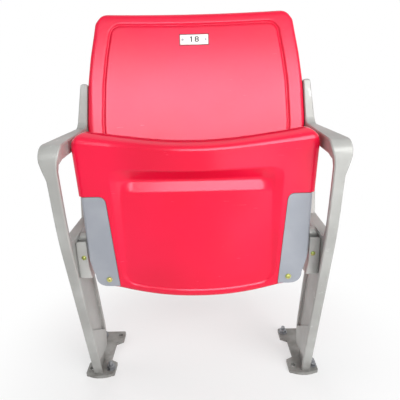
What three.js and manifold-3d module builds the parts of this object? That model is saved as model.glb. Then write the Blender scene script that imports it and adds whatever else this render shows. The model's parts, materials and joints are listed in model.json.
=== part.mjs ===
// Tip-up stadium seat: two cast standards carry a fixed back shell and a seat that a spring folds up.
// Millimetres. X runs across the seat, +Y goes back, +Z goes up, and the seat faces -Y.
// The rest pose is the folded seat. Side pieces are made for the right side and mirrored for the left.
import * as THREE from 'three';
import { mergeVertices } from 'three/addons/utils/BufferGeometryUtils.js';
import Module from 'manifold-3d';

const wasm = await Module();
wasm.setup();

const degree = Math.PI / 180;

// Clearances and cutter overrun shared by all pieces
const gap = 0.3;
const overrun = 2;

// Side standard: leg, arm loop, back upright and foot in one casting
const standard = {
  middle: 261,
  width: 22,
  web: 7,
  rim: 7,
  edge: 2.2,
  armTop: 609.5,
  reach: 110,
  legDepth: 94,
  noseRadius: 27,
  noseFlareIn: 8,
  noseFlareOut: 9,
  flareInHeight: 44.5,
  flareOutHeight: 45,
  flareOutFrom: 69.5,
  loopDepth: 11,
  loopCorner: 9,
  armDepth: 27.5,
  armBlend: 60,
  shelfTop: 410,
  shelfThickness: 8,
  shelfFillet: 16,
  junctionBack: 109,
  junctionFillet: 22,
  bandTopFront: 175,
  bandTopRear: 71,
  bandLowFront: 66,
  bandLowRear: 33,
};
// Front line of the leg, from the floor to the start of the nose, and its rear line up to the upright
const legFrontShares = [
  [0, 0], [0.33, 0.266], [0.527, 0.43], [0.8, 0.652], [0.9, 0.756], [0.965, 0.882], [1, 1],
];
const legRearShares = [
  [0.64, 0.105], [0.755, 0.18], [0.75, 0.26], [0.645, 0.378], [0.44, 0.612],
  [0.33, 0.732], [0.4, 0.841], [0.68, 0.939], [1.03, 1.037], [1.18, 1.146],
];

// Back upright above the arm
const upright = {
  recline: 15,
  rise: 96.5,
  depth: 38,
  leanIn: 4.5,
  leanOut: 11,
  topRound: 5,
};

// Foot plate with four ears
const foot = {
  inward: 40,
  outward: 32,
  front: 9,
  frontBow: 7,
  rear: 164,
  thickness: 8,
  earLength: 40,
  earSlope: 10,
  waistIn: 18,
  waistOut: 17,
  corner: 6,
  holeRadius: 6,
  holeFromSide: 12,
  holeFromFront: 27,
  holeFromRear: 17,
};

// Hinge: the pin turns in a bush in the web, inside a cup that holds the spring
const hinge = {
  back: -24,
  belowShelf: 14,
  openAngle: 85,
  cupRadius: 12,
  cupBore: 9.6,
  cupLength: 21.5,
  pinRadius: 5,
  pinFlangeRadius: 10,
  pinFlange: 2,
  threadRadius: 4.2,
  bushRadius: 8,
  dogLength: 4,
  dogAngle: 40,
  dogMiddle: 60,
  nutAcross: 13,
  spotMargin: 2,
  nutHeight: 5.6,
  threadBeyond: 0.6,
};

// Return spring around the pin, one leg held in the housing
const spring = {
  wire: 1.8,
  meanRadius: 7.3,
  turns: 4,
  coilLength: 10,
  legLength: 51,
  fromFace: 4,
};

// Housing below the cup, a cover of even wall held by one screw
const housing = {
  fromBracket: 3.5,
  front: -48,
  rear: 14,
  drop: 12.3,
  height: 73.2,
  crest: 12,
  crestDepth: 10,
  wall: 3,
  corner: 4,
  sweep: 4,
  flare: 4,
  flareHeight: 26,
  screwFromWeb: 15.5,
  screwDrop: 37,
  bossHeight: 14,
  bossRear: -4,
};

// Seat shell, in places from the hinge axis with the seat folded up
const seat = {
  sideGapFront: 10.5,
  sideGapRear: 21,
  frontEdge: 226,
  frontEdgeCrown: 18,
  rearEdge: -106,
  rearEdgeCrown: 18,
  underside: -35,
  thickness: 47,
  bulgeFront: 22,
  bulgeRear: 14,
  bulgeHalfWidth: 168,
  frontCorner: 28,
  rearCorner: 38,
  lipRound: 28,
  sideRound: 12,
  topRound: 9,
  rebateAbove: 1.5,
  rebateGroove: 1.2,
  rearTaper: 19,
  rearTaperFrom: -10,
};
// Recess in the underside: rows up from the rear edge with the depth of the panel at each
const recess = {
  innerFront: 147,
  innerRear: 152,
  outerFront: 171,
  outerRear: 157,
  bottomWall: 3,
  rearFrame: 16,
  depthRear: 3,
  depthFront: 6,
  troughDepth: 17,
  panelTop: 106,
  troughHeight: 133,
  lipHeight: 154,
};

// Pressed bracket under each side of the seat
const bracket = {
  thickness: 3,
  sideGap: 20.5,
  widthTop: 47.5,
  widthBottom: 61,
  top: 101,
  bottom: -100,
  innerCorner: 14,
  outerCorner: 26,
  taper: 11.5,
  bend: 6,
  webRear: 4,
  webBottom: -28,
  earRadius: 16,
};

// Fasteners of the seat bracket
const flangeBolt = {
  fromOuter: 39.5, height: -84, headRadius: 6, headHeight: 3.4, shank: 3, length: 17, crown: 1.2,
};
const sideScrew = {
  heights: [38, 82], back: -12, headRadius: 5, headHeight: 2.6, shank: 2.4, length: 15, crown: 1,
};
const housingScrew = { headRadius: 5, headHeight: 3, shank: 2.5, length: 14, crown: 1 };

// Back shell, in the plane of the upright's front face, from the arm's height
const back = {
  bottom: -188,
  top: 255,
  sideGap: 0.8,
  sideGapBottom: 18,
  topCrown: 2,
  corner: 27,
  bottomCorner: 30,
  sag: 20,
  sagHalfWidth: 198,
  thickness: 30,
  frontRound: 9,
  rearRound: 9,
  rimSide: 33,
  rimTop: 22,
  groove: 8,
  grooveDepth: 2.2,
};
// Half width of the shell above the arm, by height
const backWidthShares = [[0.03, 1], [0.388, 0.982], [0.62, 0.951], [0.815, 0.915], [1, 0.883]];

// Number plate and its rivets
const plate = {
  width: 65, height: 22, thickness: 1.5, centre: 198, pocketDepth: 1.6, pocketGap: 0.8, corner: 1.5,
};
const rivet = { headRadius: 2.6, headHeight: 1, shank: 1.2, length: 7, fromEnd: 6 };

// Lugs behind the shell on each upright, and their bolts
const lug = { reach: 27, heights: [-110, 56], halfHeight: 14, thickness: 6, boltFromSide: 17, hole: 4.4 };
const backBolt = { across: 13, headHeight: 5, shank: 4, length: 19 };

const roundSides = 20;
const smallSides = 12;

const aluminium = new THREE.MeshStandardMaterial({ color: 0xa9aaa8, roughness: 0.5, metalness: 0.35 });
const redPlastic = new THREE.MeshStandardMaterial({ color: 0xe8203f, roughness: 0.38, metalness: 0 });
const steel = new THREE.MeshStandardMaterial({ color: 0x9aa0a8, roughness: 0.45, metalness: 0.4 });
const zinc = new THREE.MeshStandardMaterial({ color: 0xc9c27a, roughness: 0.35, metalness: 0.8 });
const springSteel = new THREE.MeshStandardMaterial({ color: 0x55585c, roughness: 0.4, metalness: 0.9 });
const nylon = new THREE.MeshStandardMaterial({ color: 0x26272a, roughness: 0.6, metalness: 0 });
const whitePlastic = new THREE.MeshStandardMaterial({ color: 0xf2f1ec, roughness: 0.45, metalness: 0 });

const webInner = standard.middle - standard.web / 2;
const webOuter = standard.middle + standard.web / 2;
const flangeInner = standard.middle - standard.width / 2;
const flangeOuter = standard.middle + standard.width / 2;
const noseStart = standard.armTop - standard.noseRadius;
const recline = upright.recline * degree;
const uprightTop = standard.armTop + upright.rise;
const hingeHeight = standard.shelfTop - hinge.belowShelf;
const cupFace = webInner - hinge.cupLength;
const seatHalfFront = flangeInner - seat.sideGapFront;
const seatHalfRear = flangeInner - seat.sideGapRear;
const bracketOuter = flangeInner - bracket.sideGap;
const flangeBoltX = bracketOuter - flangeBolt.fromOuter;
const housingInner = bracketOuter + housing.fromBracket;
const housingTop = hingeHeight - housing.drop;
const housingCrest = housingTop + housing.crest;
const housingBottom = housingTop - housing.height;
const housingScrewX = webInner - housing.screwFromWeb;
const housingScrewHeight = hingeHeight - housing.screwDrop;
const backHalfArm = flangeInner - back.sideGap;
const backHalfBottom = flangeInner - back.sideGapBottom;
const lugInner = flangeInner - lug.reach;
const lugBoltX = flangeInner - lug.boltFromSide;

// A closed mesh from points and triangles, its faces turned outwards
function closedGeometry(positions, triangles) {
  let volume = 0;
  const a = new THREE.Vector3();
  const b = new THREE.Vector3();
  const c = new THREE.Vector3();
  for (const [i, j, k] of triangles) {
    a.fromArray(positions, i * 3);
    b.fromArray(positions, j * 3);
    c.fromArray(positions, k * 3);
    volume += a.dot(b.cross(c));
  }
  const ordered = volume < 0 ? triangles.map(([i, j, k]) => [i, k, j]) : triangles;
  const geometry = new THREE.BufferGeometry();
  geometry.setAttribute('position', new THREE.Float32BufferAttribute(positions, 3));
  geometry.setIndex(ordered.flat());
  return geometry;
}

function solidOf(geometry) {
  const bare = geometry.clone();
  bare.deleteAttribute('normal');
  bare.deleteAttribute('uv');
  const merged = mergeVertices(bare, 1e-4);
  const mesh = new wasm.Mesh({
    numProp: 3,
    vertProperties: new Float32Array(merged.attributes.position.array),
    triVerts: new Uint32Array(merged.index.array),
  });
  mesh.merge();
  return new wasm.Manifold(mesh);
}

function geometryOf(solid) {
  const mesh = solid.getMesh();
  const geometry = new THREE.BufferGeometry();
  geometry.setAttribute('position', new THREE.BufferAttribute(mesh.vertProperties, 3));
  geometry.setIndex(new THREE.BufferAttribute(mesh.triVerts, 1));
  return geometry;
}

function joined(parts) {
  return parts.reduce((sum, part) => sum.add(part));
}

function without(body, cutters) {
  return cutters.reduce((rest, cutter) => rest.subtract(cutter), body);
}

// Extrusions of a flat outline along one axis, between two places on it
function alongX(shape, from, to, curveSegments = smallSides) {
  const geometry = new THREE.ExtrudeGeometry(shape, { depth: to - from, bevelEnabled: false, curveSegments });
  const turn = new THREE.Matrix4().makeBasis(
    new THREE.Vector3(0, 1, 0),
    new THREE.Vector3(0, 0, 1),
    new THREE.Vector3(1, 0, 0),
  );
  geometry.applyMatrix4(turn);
  geometry.translate(from, 0, 0);
  return solidOf(geometry);
}

function alongY(shape, from, to, curveSegments = smallSides) {
  const geometry = new THREE.ExtrudeGeometry(shape, { depth: to - from, bevelEnabled: false, curveSegments });
  const turn = new THREE.Matrix4().makeBasis(
    new THREE.Vector3(1, 0, 0),
    new THREE.Vector3(0, 0, 1),
    new THREE.Vector3(0, -1, 0),
  );
  geometry.applyMatrix4(turn);
  geometry.translate(0, to, 0);
  return solidOf(geometry);
}

function alongZ(shape, from, to, curveSegments = smallSides, steps = 1) {
  const geometry = new THREE.ExtrudeGeometry(shape, {
    depth: to - from, steps, bevelEnabled: false, curveSegments,
  });
  geometry.translate(0, 0, from);
  return geometry;
}

function block(x0, x1, y0, y1, z0, z1) {
  const geometry = new THREE.BoxGeometry(x1 - x0, y1 - y0, z1 - z0);
  geometry.translate((x0 + x1) / 2, (y0 + y1) / 2, (z0 + z1) / 2);
  return solidOf(geometry);
}

// Round rods and heads made by turning a profile, laid along X or towards -Y
function turned(profile, sides) {
  return new THREE.LatheGeometry(profile.map(([r, h]) => new THREE.Vector2(r, h)), sides);
}

function rodX(radius, from, to, y, z, sides = roundSides) {
  const geometry = turned([[0, 0], [radius, 0], [radius, to - from], [0, to - from]], sides);
  geometry.rotateZ(-Math.PI / 2);
  geometry.translate(from, y, z);
  return solidOf(geometry);
}

function rodY(radius, from, to, x, z, sides = roundSides) {
  const geometry = turned([[0, 0], [radius, 0], [radius, to - from], [0, to - from]], sides);
  geometry.translate(x, from, z);
  return solidOf(geometry);
}

function polygon(points) {
  return new THREE.Shape(points.map(([x, y]) => new THREE.Vector2(x, y)));
}

function smooth(share) {
  const t = Math.min(Math.max(share, 0), 1);
  return t * t * (3 - 2 * t);
}

function mix(a, b, share) {
  return a + (b - a) * Math.min(Math.max(share, 0), 1);
}

// A bar lofted along a path in the side plane. Each station holds a point on the outer face, the
// outward direction, the X limits and the depth inwards. Long edges are chamfered.
const edgeLimitShare = 0.3;
function loftedBar(stations, edge) {
  const positions = [];
  const triangles = [];
  for (const s of stations) {
    const e = Math.min(edge, s.depth * edgeLimitShare, (s.outer - s.inner) * edgeLimitShare);
    const ring = [
      [s.inner + e, 0], [s.outer - e, 0], [s.outer, e], [s.outer, s.depth - e],
      [s.outer - e, s.depth], [s.inner + e, s.depth], [s.inner, s.depth - e], [s.inner, e],
    ];
    for (const [x, inward] of ring) {
      positions.push(x, s.y - s.ny * inward, s.z - s.nz * inward);
    }
  }
  const sides = 8;
  const last = (stations.length - 1) * sides;
  for (let i = 0; i < stations.length - 1; i += 1) {
    for (let j = 0; j < sides; j += 1) {
      const a = i * sides + j;
      const b = i * sides + (j + 1) % sides;
      triangles.push([a, b, b + sides], [a, b + sides, a + sides]);
    }
  }
  for (let j = 1; j < sides - 1; j += 1) {
    triangles.push([0, j + 1, j], [last, last + j, last + j + 1]);
  }
  return solidOf(closedGeometry(positions, triangles));
}

// A moulded panel: two faces over the same grid of rows and columns, joined round the edge
function panelSolid(rows, columns, faceA, faceB) {
  const positions = [];
  const triangles = [];
  const across = columns.length;
  for (const face of [faceA, faceB]) {
    for (const row of rows) {
      for (const column of columns) {
        positions.push(...face(row, column));
      }
    }
  }
  const other = rows.length * across;
  const at = (i, j) => i * across + j;
  for (let i = 0; i < rows.length - 1; i += 1) {
    for (let j = 0; j < across - 1; j += 1) {
      const [p, q, r, s] = [at(i, j), at(i, j + 1), at(i + 1, j + 1), at(i + 1, j)];
      if (j < across / 2 - 1) {
        triangles.push([p, q, s], [q, r, s]);
        triangles.push([p + other, s + other, q + other], [q + other, s + other, r + other]);
      } else {
        triangles.push([p, q, r], [p, r, s]);
        triangles.push([p + other, r + other, q + other], [p + other, s + other, r + other]);
      }
    }
  }
  const rim = [];
  for (let j = 0; j < across; j += 1) rim.push(at(0, j));
  for (let i = 1; i < rows.length; i += 1) rim.push(at(i, across - 1));
  for (let j = across - 2; j >= 0; j -= 1) rim.push(at(rows.length - 1, j));
  for (let i = rows.length - 2; i > 0; i -= 1) rim.push(at(i, 0));
  for (let k = 0; k < rim.length; k += 1) {
    const p = rim[k];
    const q = rim[(k + 1) % rim.length];
    triangles.push([q, p, p + other], [q, p + other, q + other]);
  }
  return solidOf(closedGeometry(positions, triangles));
}

// How far a rounded edge of the given radius falls back at a distance from the edge
function roundedFall(distance, radius) {
  if (distance >= radius) return 0;
  const inside = radius - Math.max(distance, 0);
  return radius - Math.sqrt(radius * radius - inside * inside);
}

// Leg and arm lines in the side plane
const legFront = new THREE.SplineCurve(
  legFrontShares.map(([y, z]) => new THREE.Vector2(-standard.reach * y, noseStart * z)),
);
const legRear = new THREE.SplineCurve(
  legRearShares.map(([y, z]) => new THREE.Vector2(standard.legDepth * y, standard.shelfTop * z)),
);
const shelfBottom = standard.shelfTop - standard.shelfThickness;

function uprightFront(height) {
  return standard.junctionBack + (height - standard.armTop) * Math.tan(recline);
}

// How far the upright has leaned inwards at a height, as a share
function uprightLean(height) {
  return Math.max(0, (height - standard.armTop) / upright.rise);
}

function legFrontAt(height) {
  let low = 0;
  let high = 1;
  for (let i = 0; i < 30; i += 1) {
    const t = (low + high) / 2;
    if (legFront.getPoint(t).y < height) low = t;
    else high = t;
  }
  return legFront.getPoint(low).x;
}

function strapStation(point, normal, depth, flareIn = 0, flareOut = 0) {
  return {
    y: point.x,
    z: point.y,
    ny: normal.x,
    nz: normal.y,
    inner: flangeInner - standard.noseFlareIn * flareIn - upright.leanIn * uprightLean(point.y),
    outer: flangeOuter + standard.noseFlareOut * flareOut - upright.leanOut * uprightLean(point.y),
    depth,
  };
}

// A station between a point on the outer line and its partner on the inner line
function stationThrough(point, partner, flareIn, flareOut) {
  const normal = point.clone().sub(partner);
  const depth = normal.length();
  return strapStation(point, normal.normalize(), depth, flareIn, flareOut);
}

function flareInAt(height) {
  return smooth((height - standard.armTop) / standard.flareInHeight + 1);
}

function flareOutAt(height) {
  return smooth((height - standard.armTop + standard.flareOutFrom) / standard.flareOutHeight);
}

// Front flange of the leg, front bar of the loop, nose and arm, as one strap that widens at the nose
function strapSolid() {
  const stations = [];
  const legSteps = 20;
  const startShare = 0.012;
  const noseCentre = new THREE.Vector2(standard.noseRadius - standard.reach, noseStart);
  const innerCentre = new THREE.Vector2(
    standard.loopDepth + standard.loopCorner - standard.reach,
    standard.armTop - standard.armDepth - standard.loopCorner,
  );
  const lowering = noseCentre.y - innerCentre.y;
  for (let i = 0; i <= legSteps; i += 1) {
    const t = mix(startShare, 1, i / legSteps);
    const point = legFront.getPoint(t);
    const tangent = legFront.getTangent(t);
    const deep = smooth((point.y - shelfBottom + standard.shelfFillet) / standard.shelfFillet);
    const depth = mix(standard.rim, standard.loopDepth, deep);
    const partner = point.clone().addScaledVector(new THREE.Vector2(tangent.y, -tangent.x), depth);
    partner.y -= lowering * smooth((point.y - noseStart) / standard.armBlend + 1);
    stations.push(stationThrough(point, partner, flareInAt(point.y), flareOutAt(point.y)));
  }
  const noseSteps = 6;
  for (let i = 1; i <= noseSteps; i += 1) {
    const angle = Math.PI - (i / noseSteps) * Math.PI / 2;
    const normal = new THREE.Vector2(Math.cos(angle), Math.sin(angle));
    const point = noseCentre.clone().addScaledVector(normal, standard.noseRadius);
    const partner = innerCentre.clone().addScaledVector(normal, standard.loopCorner);
    stations.push(stationThrough(point, partner, flareInAt(point.y), flareOutAt(point.y)));
  }
  const turn = Math.PI / 2 - recline;
  const filletRun = standard.junctionFillet * Math.tan(turn / 2);
  const armStart = noseCentre.x;
  const armEnd = standard.junctionBack - filletRun;
  const armSteps = 3;
  for (let i = 1; i <= armSteps; i += 1) {
    const share = i / armSteps;
    const point = new THREE.Vector2(mix(armStart, armEnd, share), standard.armTop);
    stations.push(strapStation(point, new THREE.Vector2(0, 1), standard.armDepth, 1 - share, 1 - share));
  }
  const filletSteps = 5;
  const filletCentre = new THREE.Vector2(armEnd, standard.armTop + standard.junctionFillet);
  for (let i = 1; i <= filletSteps; i += 1) {
    const angle = -Math.PI / 2 + turn * (i / filletSteps);
    const normal = new THREE.Vector2(-Math.cos(angle), -Math.sin(angle));
    const point = filletCentre.clone().addScaledVector(normal, -standard.junctionFillet);
    stations.push(strapStation(point, normal, standard.armDepth));
  }
  return loftedBar(stations, standard.edge);
}

function uprightSolid() {
  const stations = [];
  const full = uprightTop - upright.topRound;
  const heights = [standard.shelfTop + upright.depth / 2, standard.armTop, full];
  const station = (height, inset) => {
    const lean = uprightLean(height);
    const y = uprightFront(height);
    return {
      y: y + inset * Math.cos(recline),
      z: height - inset * Math.sin(recline),
      ny: -Math.cos(recline),
      nz: Math.sin(recline),
      inner: flangeInner - upright.leanIn * lean + inset,
      outer: flangeOuter - upright.leanOut * lean - inset,
      depth: upright.depth - inset * 2,
    };
  };
  stations.push({ ...station(shelfBottom, 0), depth: upright.depth / 2 });
  for (const height of heights) stations.push(station(height, 0));
  const roundSteps = 3;
  for (let i = 1; i <= roundSteps; i += 1) {
    const angle = (i / roundSteps) * Math.PI / 2;
    const rise = upright.topRound * Math.sin(angle);
    stations.push(station(full + rise, upright.topRound * (1 - Math.cos(angle))));
  }
  return loftedBar(stations, standard.edge);
}

// Outline of the leg between its flanges, up to the shelf
function legOutline(inset) {
  const points = [];
  const steps = 16;
  for (let i = 0; i <= steps; i += 1) {
    const t = i / steps;
    const point = legFront.getPoint(t);
    if (point.y < shelfBottom) points.push([point.x + inset, Math.max(point.y, foot.thickness / 2)]);
  }
  const middle = standard.shelfTop - standard.shelfThickness / 2;
  points.push([legFrontAt(middle) + inset, middle]);
  points.push([uprightFront(middle) + inset, middle]);
  for (let i = steps; i >= 0; i -= 1) {
    const point = legRear.getPoint(i / steps);
    if (point.y < middle) points.push([point.x - inset, point.y]);
  }
  points.push([legRear.getPoint(0).x - inset, foot.thickness / 2]);
  return polygon(points);
}

function rearFlangeSolid() {
  const stations = [];
  const steps = 16;
  for (let i = 0; i <= steps; i += 1) {
    const point = legRear.getPoint(i / steps);
    const tangent = legRear.getTangent(i / steps);
    stations.push(strapStation(point, new THREE.Vector2(tangent.y, -tangent.x), standard.rim));
  }
  return loftedBar(stations, standard.edge);
}

// Shelf that closes the loop at the bottom, filleted up to the front bar
function shelfSolid() {
  const front = legFrontAt(standard.shelfTop) + standard.rim / 2;
  const barRear = legFrontAt(standard.shelfTop + standard.shelfFillet) + standard.loopDepth;
  const rear = uprightFront(standard.shelfTop) + standard.rim;
  const shape = new THREE.Shape();
  shape.moveTo(front, shelfBottom);
  shape.lineTo(rear, shelfBottom);
  shape.lineTo(rear, standard.shelfTop);
  shape.lineTo(barRear + standard.shelfFillet, standard.shelfTop);
  shape.quadraticCurveTo(barRear, standard.shelfTop, barRear, standard.shelfTop + standard.shelfFillet);
  shape.lineTo(front, standard.shelfTop + standard.shelfFillet);
  return alongX(shape, flangeInner, flangeOuter, 5);
}

// Flush band across the leg, its top line falling towards the rear
function bandSolid() {
  const front = legFrontAt(standard.bandTopFront) - standard.rim;
  const rear = standard.legDepth;
  const side = polygon([
    [front, standard.bandLowFront],
    [rear, standard.bandLowRear],
    [rear, standard.bandTopRear],
    [front, standard.bandTopFront],
  ]);
  const slab = alongX(side, flangeInner, flangeOuter);
  return slab.intersect(alongX(legOutline(standard.rim / 2), flangeInner, flangeOuter));
}

function footSolid() {
  const { rear, corner, earLength, earSlope } = foot;
  const inner = standard.middle - foot.inward;
  const outer = standard.middle + foot.outward;
  const front = foot.frontBow - foot.front;
  const innerWaist = inner + foot.waistIn;
  const outerWaist = outer - foot.waistOut;
  const shape = new THREE.Shape();
  shape.moveTo(inner + corner, front);
  shape.quadraticCurveTo((inner + outer) / 2, front - foot.frontBow * 2, outer - corner, front);
  shape.quadraticCurveTo(outer, front, outer, front + corner);
  shape.lineTo(outer, front + earLength);
  shape.lineTo(outerWaist, front + earLength + earSlope);
  shape.lineTo(outerWaist, rear - earLength - earSlope);
  shape.lineTo(outer, rear - earLength);
  shape.lineTo(outer, rear - corner);
  shape.quadraticCurveTo(outer, rear, outer - corner, rear);
  shape.lineTo(inner + corner, rear);
  shape.quadraticCurveTo(inner, rear, inner, rear - corner);
  shape.lineTo(inner, rear - earLength);
  shape.lineTo(innerWaist, rear - earLength - earSlope);
  shape.lineTo(innerWaist, front + earLength + earSlope);
  shape.lineTo(inner, front + earLength);
  shape.lineTo(inner, front + corner);
  shape.quadraticCurveTo(inner, front, inner + corner, front);
  for (const x of [inner + foot.holeFromSide, outer - foot.holeFromSide]) {
    for (const y of [foot.holeFromFront - foot.front, rear - foot.holeFromRear]) {
      const hole = new THREE.Path();
      hole.absarc(x, y, foot.holeRadius, 0, Math.PI * 2, true);
      shape.holes.push(hole);
    }
  }
  return solidOf(alongZ(shape, 0, foot.thickness, 5));
}

// A ring sector about the hinge axis, from one angle to another, measured from +Y towards +Z
function sectorShape(innerRadius, outerRadius, from, to) {
  const shape = new THREE.Shape();
  shape.absarc(hinge.back, hingeHeight, outerRadius, from, to, false);
  shape.absarc(hinge.back, hingeHeight, innerRadius, to, from, true);
  return shape;
}

const dogFace = webInner - hinge.dogLength - gap * 2;
const dogClear = gap * 1.5 / hinge.cupBore;
const boreLeg = hinge.back + spring.meanRadius;
const springStart = cupFace + spring.fromFace;
const slotHalf = spring.wire / 2 + gap * 1.5;

// Cup on the web with its bore, the leg slot, and the stop that ends the dog's travel both ways
function cupSolid() {
  const cup = rodX(hinge.cupRadius, cupFace, standard.middle, hinge.back, hingeHeight);
  const bore = rodX(hinge.cupBore, cupFace - overrun, webInner, hinge.back, hingeHeight);
  const slot = block(
    cupFace - overrun, springStart + slotHalf,
    boreLeg - slotHalf, boreLeg + slotHalf,
    hingeHeight - hinge.cupRadius - overrun, hingeHeight,
  );
  const freeFrom = (hinge.dogMiddle - hinge.dogAngle / 2) * degree - dogClear;
  const freeTo = (hinge.dogMiddle + hinge.dogAngle / 2 + hinge.openAngle) * degree + dogClear;
  const stop = alongX(
    sectorShape(hinge.pinRadius + gap * 2, hinge.cupBore + gap, freeTo, freeFrom + Math.PI * 2),
    dogFace - gap, webInner + gap, roundSides,
  );
  return { body: cup, cuts: [bore, slot], stop };
}

// Boss that takes the housing's screw and holds the spring's leg
function bossSolid() {
  const inner = housingInner + housing.wall + gap * 2;
  const front = housing.front + housing.wall + gap;
  const low = housingScrewHeight - housing.bossHeight / 2;
  const high = low + housing.bossHeight;
  const nose = block(inner, webInner - housing.sweep - gap, front, housing.bossRear, low, high);
  const rearFrom = housing.front + housing.sweep + gap;
  const rear = block(inner, standard.middle, rearFrom, housing.bossRear, low, high);
  const body = nose.add(rear);
  const slot = block(
    inner - overrun, springStart + slotHalf,
    boreLeg - slotHalf, boreLeg + slotHalf,
    low - overrun, high + overrun,
  );
  const hole = rodY(
    housingScrew.shank + gap, front - overrun, housing.front - gap + housingScrew.length + gap,
    housingScrewX, housingScrewHeight, smallSides,
  );
  return without(body, [slot, hole]);
}

// The plane of the upright's front face: x across, y back from the face, z up along it
const backFrame = new THREE.Matrix4()
  .makeTranslation(0, standard.junctionBack, standard.armTop)
  .multiply(new THREE.Matrix4().makeRotationX(-recline));

function inBackFrame(solid) {
  const geometry = geometryOf(solid);
  geometry.applyMatrix4(backFrame);
  return solidOf(geometry);
}

const lugFront = back.thickness + gap;

function lugSolid(height) {
  const body = block(
    lugInner, flangeInner + standard.rim / 2,
    lugFront, lugFront + lug.thickness,
    height - lug.halfHeight, height + lug.halfHeight,
  );
  const hole = rodY(lug.hole, lugFront - overrun, lugFront + lug.thickness + overrun, lugBoltX, height);
  return inBackFrame(body.subtract(hole));
}

function standardSolid() {
  const cup = cupSolid();
  const web = alongX(legOutline(standard.rim / 2), webInner, webOuter);
  const body = joined([
    strapSolid(), uprightSolid(), rearFlangeSolid(), shelfSolid(), web, bandSolid(), footSolid(),
    cup.body, ...lug.heights.map(lugSolid),
  ]);
  const bushBore = rodX(
    hinge.bushRadius + gap, webInner - overrun, webOuter + overrun, hinge.back, hingeHeight,
  );
  const spotFace = rodX(
    hinge.nutAcross / 2 + hinge.spotMargin, webOuter, flangeOuter + overrun, hinge.back, hingeHeight,
  );
  return joined([
    without(body, [...cup.cuts, bushBore, spotFace]),
    cup.stop.subtract(bushBore),
    bossSolid(),
  ]);
}

// Steel pin welded to the bracket: flange, shaft with the stop dog, and a threaded end
function pinSolid() {
  const flangeFrom = bracketOuter + gap;
  const shaftEnd = webOuter + gap;
  const threadEnd = shaftEnd + hinge.nutHeight + hinge.threadBeyond;
  const dogFrom = (hinge.dogMiddle - hinge.dogAngle / 2) * degree;
  const dogTo = (hinge.dogMiddle + hinge.dogAngle / 2) * degree;
  const dogRadius = hinge.cupBore - gap * 1.5;
  return joined([
    rodX(hinge.pinFlangeRadius, flangeFrom, flangeFrom + hinge.pinFlange, hinge.back, hingeHeight),
    rodX(hinge.pinRadius, flangeFrom, shaftEnd, hinge.back, hingeHeight),
    rodX(hinge.threadRadius, shaftEnd - overrun, threadEnd, hinge.back, hingeHeight),
    alongX(sectorShape(hinge.threadRadius, dogRadius, dogFrom, dogTo), dogFace, dogFace + hinge.dogLength, 6),
  ]);
}

function bushSolid() {
  const outer = rodX(hinge.bushRadius, webInner + gap, webOuter - gap, hinge.back, hingeHeight);
  const bore = rodX(hinge.pinRadius + gap, webInner - overrun, webOuter + overrun, hinge.back, hingeHeight);
  return outer.subtract(bore);
}

function nutSolid() {
  const from = webOuter + gap * 2;
  const corner = hinge.nutAcross / 2 / Math.cos(Math.PI / 6);
  const body = rodX(corner, from, from + hinge.nutHeight - gap, hinge.back, hingeHeight, 6);
  const bore = rodX(
    hinge.threadRadius + gap, from - overrun, from + hinge.nutHeight + overrun, hinge.back, hingeHeight,
  );
  return body.subtract(bore);
}

// Torsion spring: a leg up from the housing, then the turns towards the web, as one unbroken wire
class SpringCurve extends THREE.Curve {
  getPoint(t, target = new THREE.Vector3()) {
    const coil = spring.turns * 2 * Math.PI * spring.meanRadius;
    const along = t * (spring.legLength + coil);
    if (along < spring.legLength) {
      return target.set(springStart, boreLeg, hingeHeight - spring.legLength + along);
    }
    const share = (along - spring.legLength) / coil;
    const angle = share * spring.turns * 2 * Math.PI;
    return target.set(
      springStart + share * spring.coilLength,
      hinge.back + spring.meanRadius * Math.cos(angle),
      hingeHeight + spring.meanRadius * Math.sin(angle),
    );
  }
}

function springGeometry() {
  const section = new THREE.Shape();
  section.absarc(0, 0, spring.wire / 2, 0, Math.PI * 2, false);
  const geometry = new THREE.ExtrudeGeometry(section, {
    steps: 60,
    curveSegments: 3,
    bevelEnabled: false,
    extrudePath: new SpringCurve(),
  });
  return geometryOf(solidOf(geometry));
}

// Housing: a U of even wall in plan, open above, below and towards the web, its inner side flared low down
// and its front wall drawn up before the cup
function housingGeometry() {
  const { front, rear, wall, corner, sweep, crestDepth } = housing;
  const inner = housingInner;
  const end = webInner - gap;
  const shape = new THREE.Shape();
  shape.moveTo(end, front + sweep);
  shape.quadraticCurveTo(end, front, end - sweep, front);
  shape.lineTo(inner + corner, front);
  shape.quadraticCurveTo(inner, front, inner, front + corner);
  shape.lineTo(inner, rear - corner);
  shape.quadraticCurveTo(inner, rear, inner + corner, rear);
  shape.lineTo(end, rear);
  shape.lineTo(end, rear - wall);
  shape.lineTo(inner + corner, rear - wall);
  shape.quadraticCurveTo(inner + wall, rear - wall, inner + wall, rear - corner);
  shape.lineTo(inner + wall, front + corner);
  shape.quadraticCurveTo(inner + wall, front + wall, inner + corner, front + wall);
  shape.lineTo(end - sweep, front + wall);
  shape.quadraticCurveTo(end - wall, front + wall, end - wall, front + sweep);
  const geometry = alongZ(shape, housingBottom, housingCrest, 4, 7);
  const place = geometry.attributes.position;
  for (let i = 0; i < place.count; i += 1) {
    const low = 1 - smooth((place.getZ(i) - housingBottom) / housing.flareHeight);
    const side = 1 - (place.getX(i) - inner) / (end - inner);
    place.setX(i, place.getX(i) - housing.flare * low * side);
  }
  const hole = rodY(
    housingScrew.shank + gap, front - overrun, front + wall + overrun,
    housingScrewX, housingScrewHeight, smallSides,
  );
  const over = housingCrest + overrun;
  const aboveRear = alongX(polygon([
    [front + wall, housingCrest],
    [front + crestDepth, housingTop],
    [rear + overrun, housingTop],
    [rear + overrun, over],
    [front + wall, over],
  ]), inner - housing.flare - overrun, webInner);
  return geometryOf(without(solidOf(geometry), [hole, aboveRear]));
}

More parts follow.
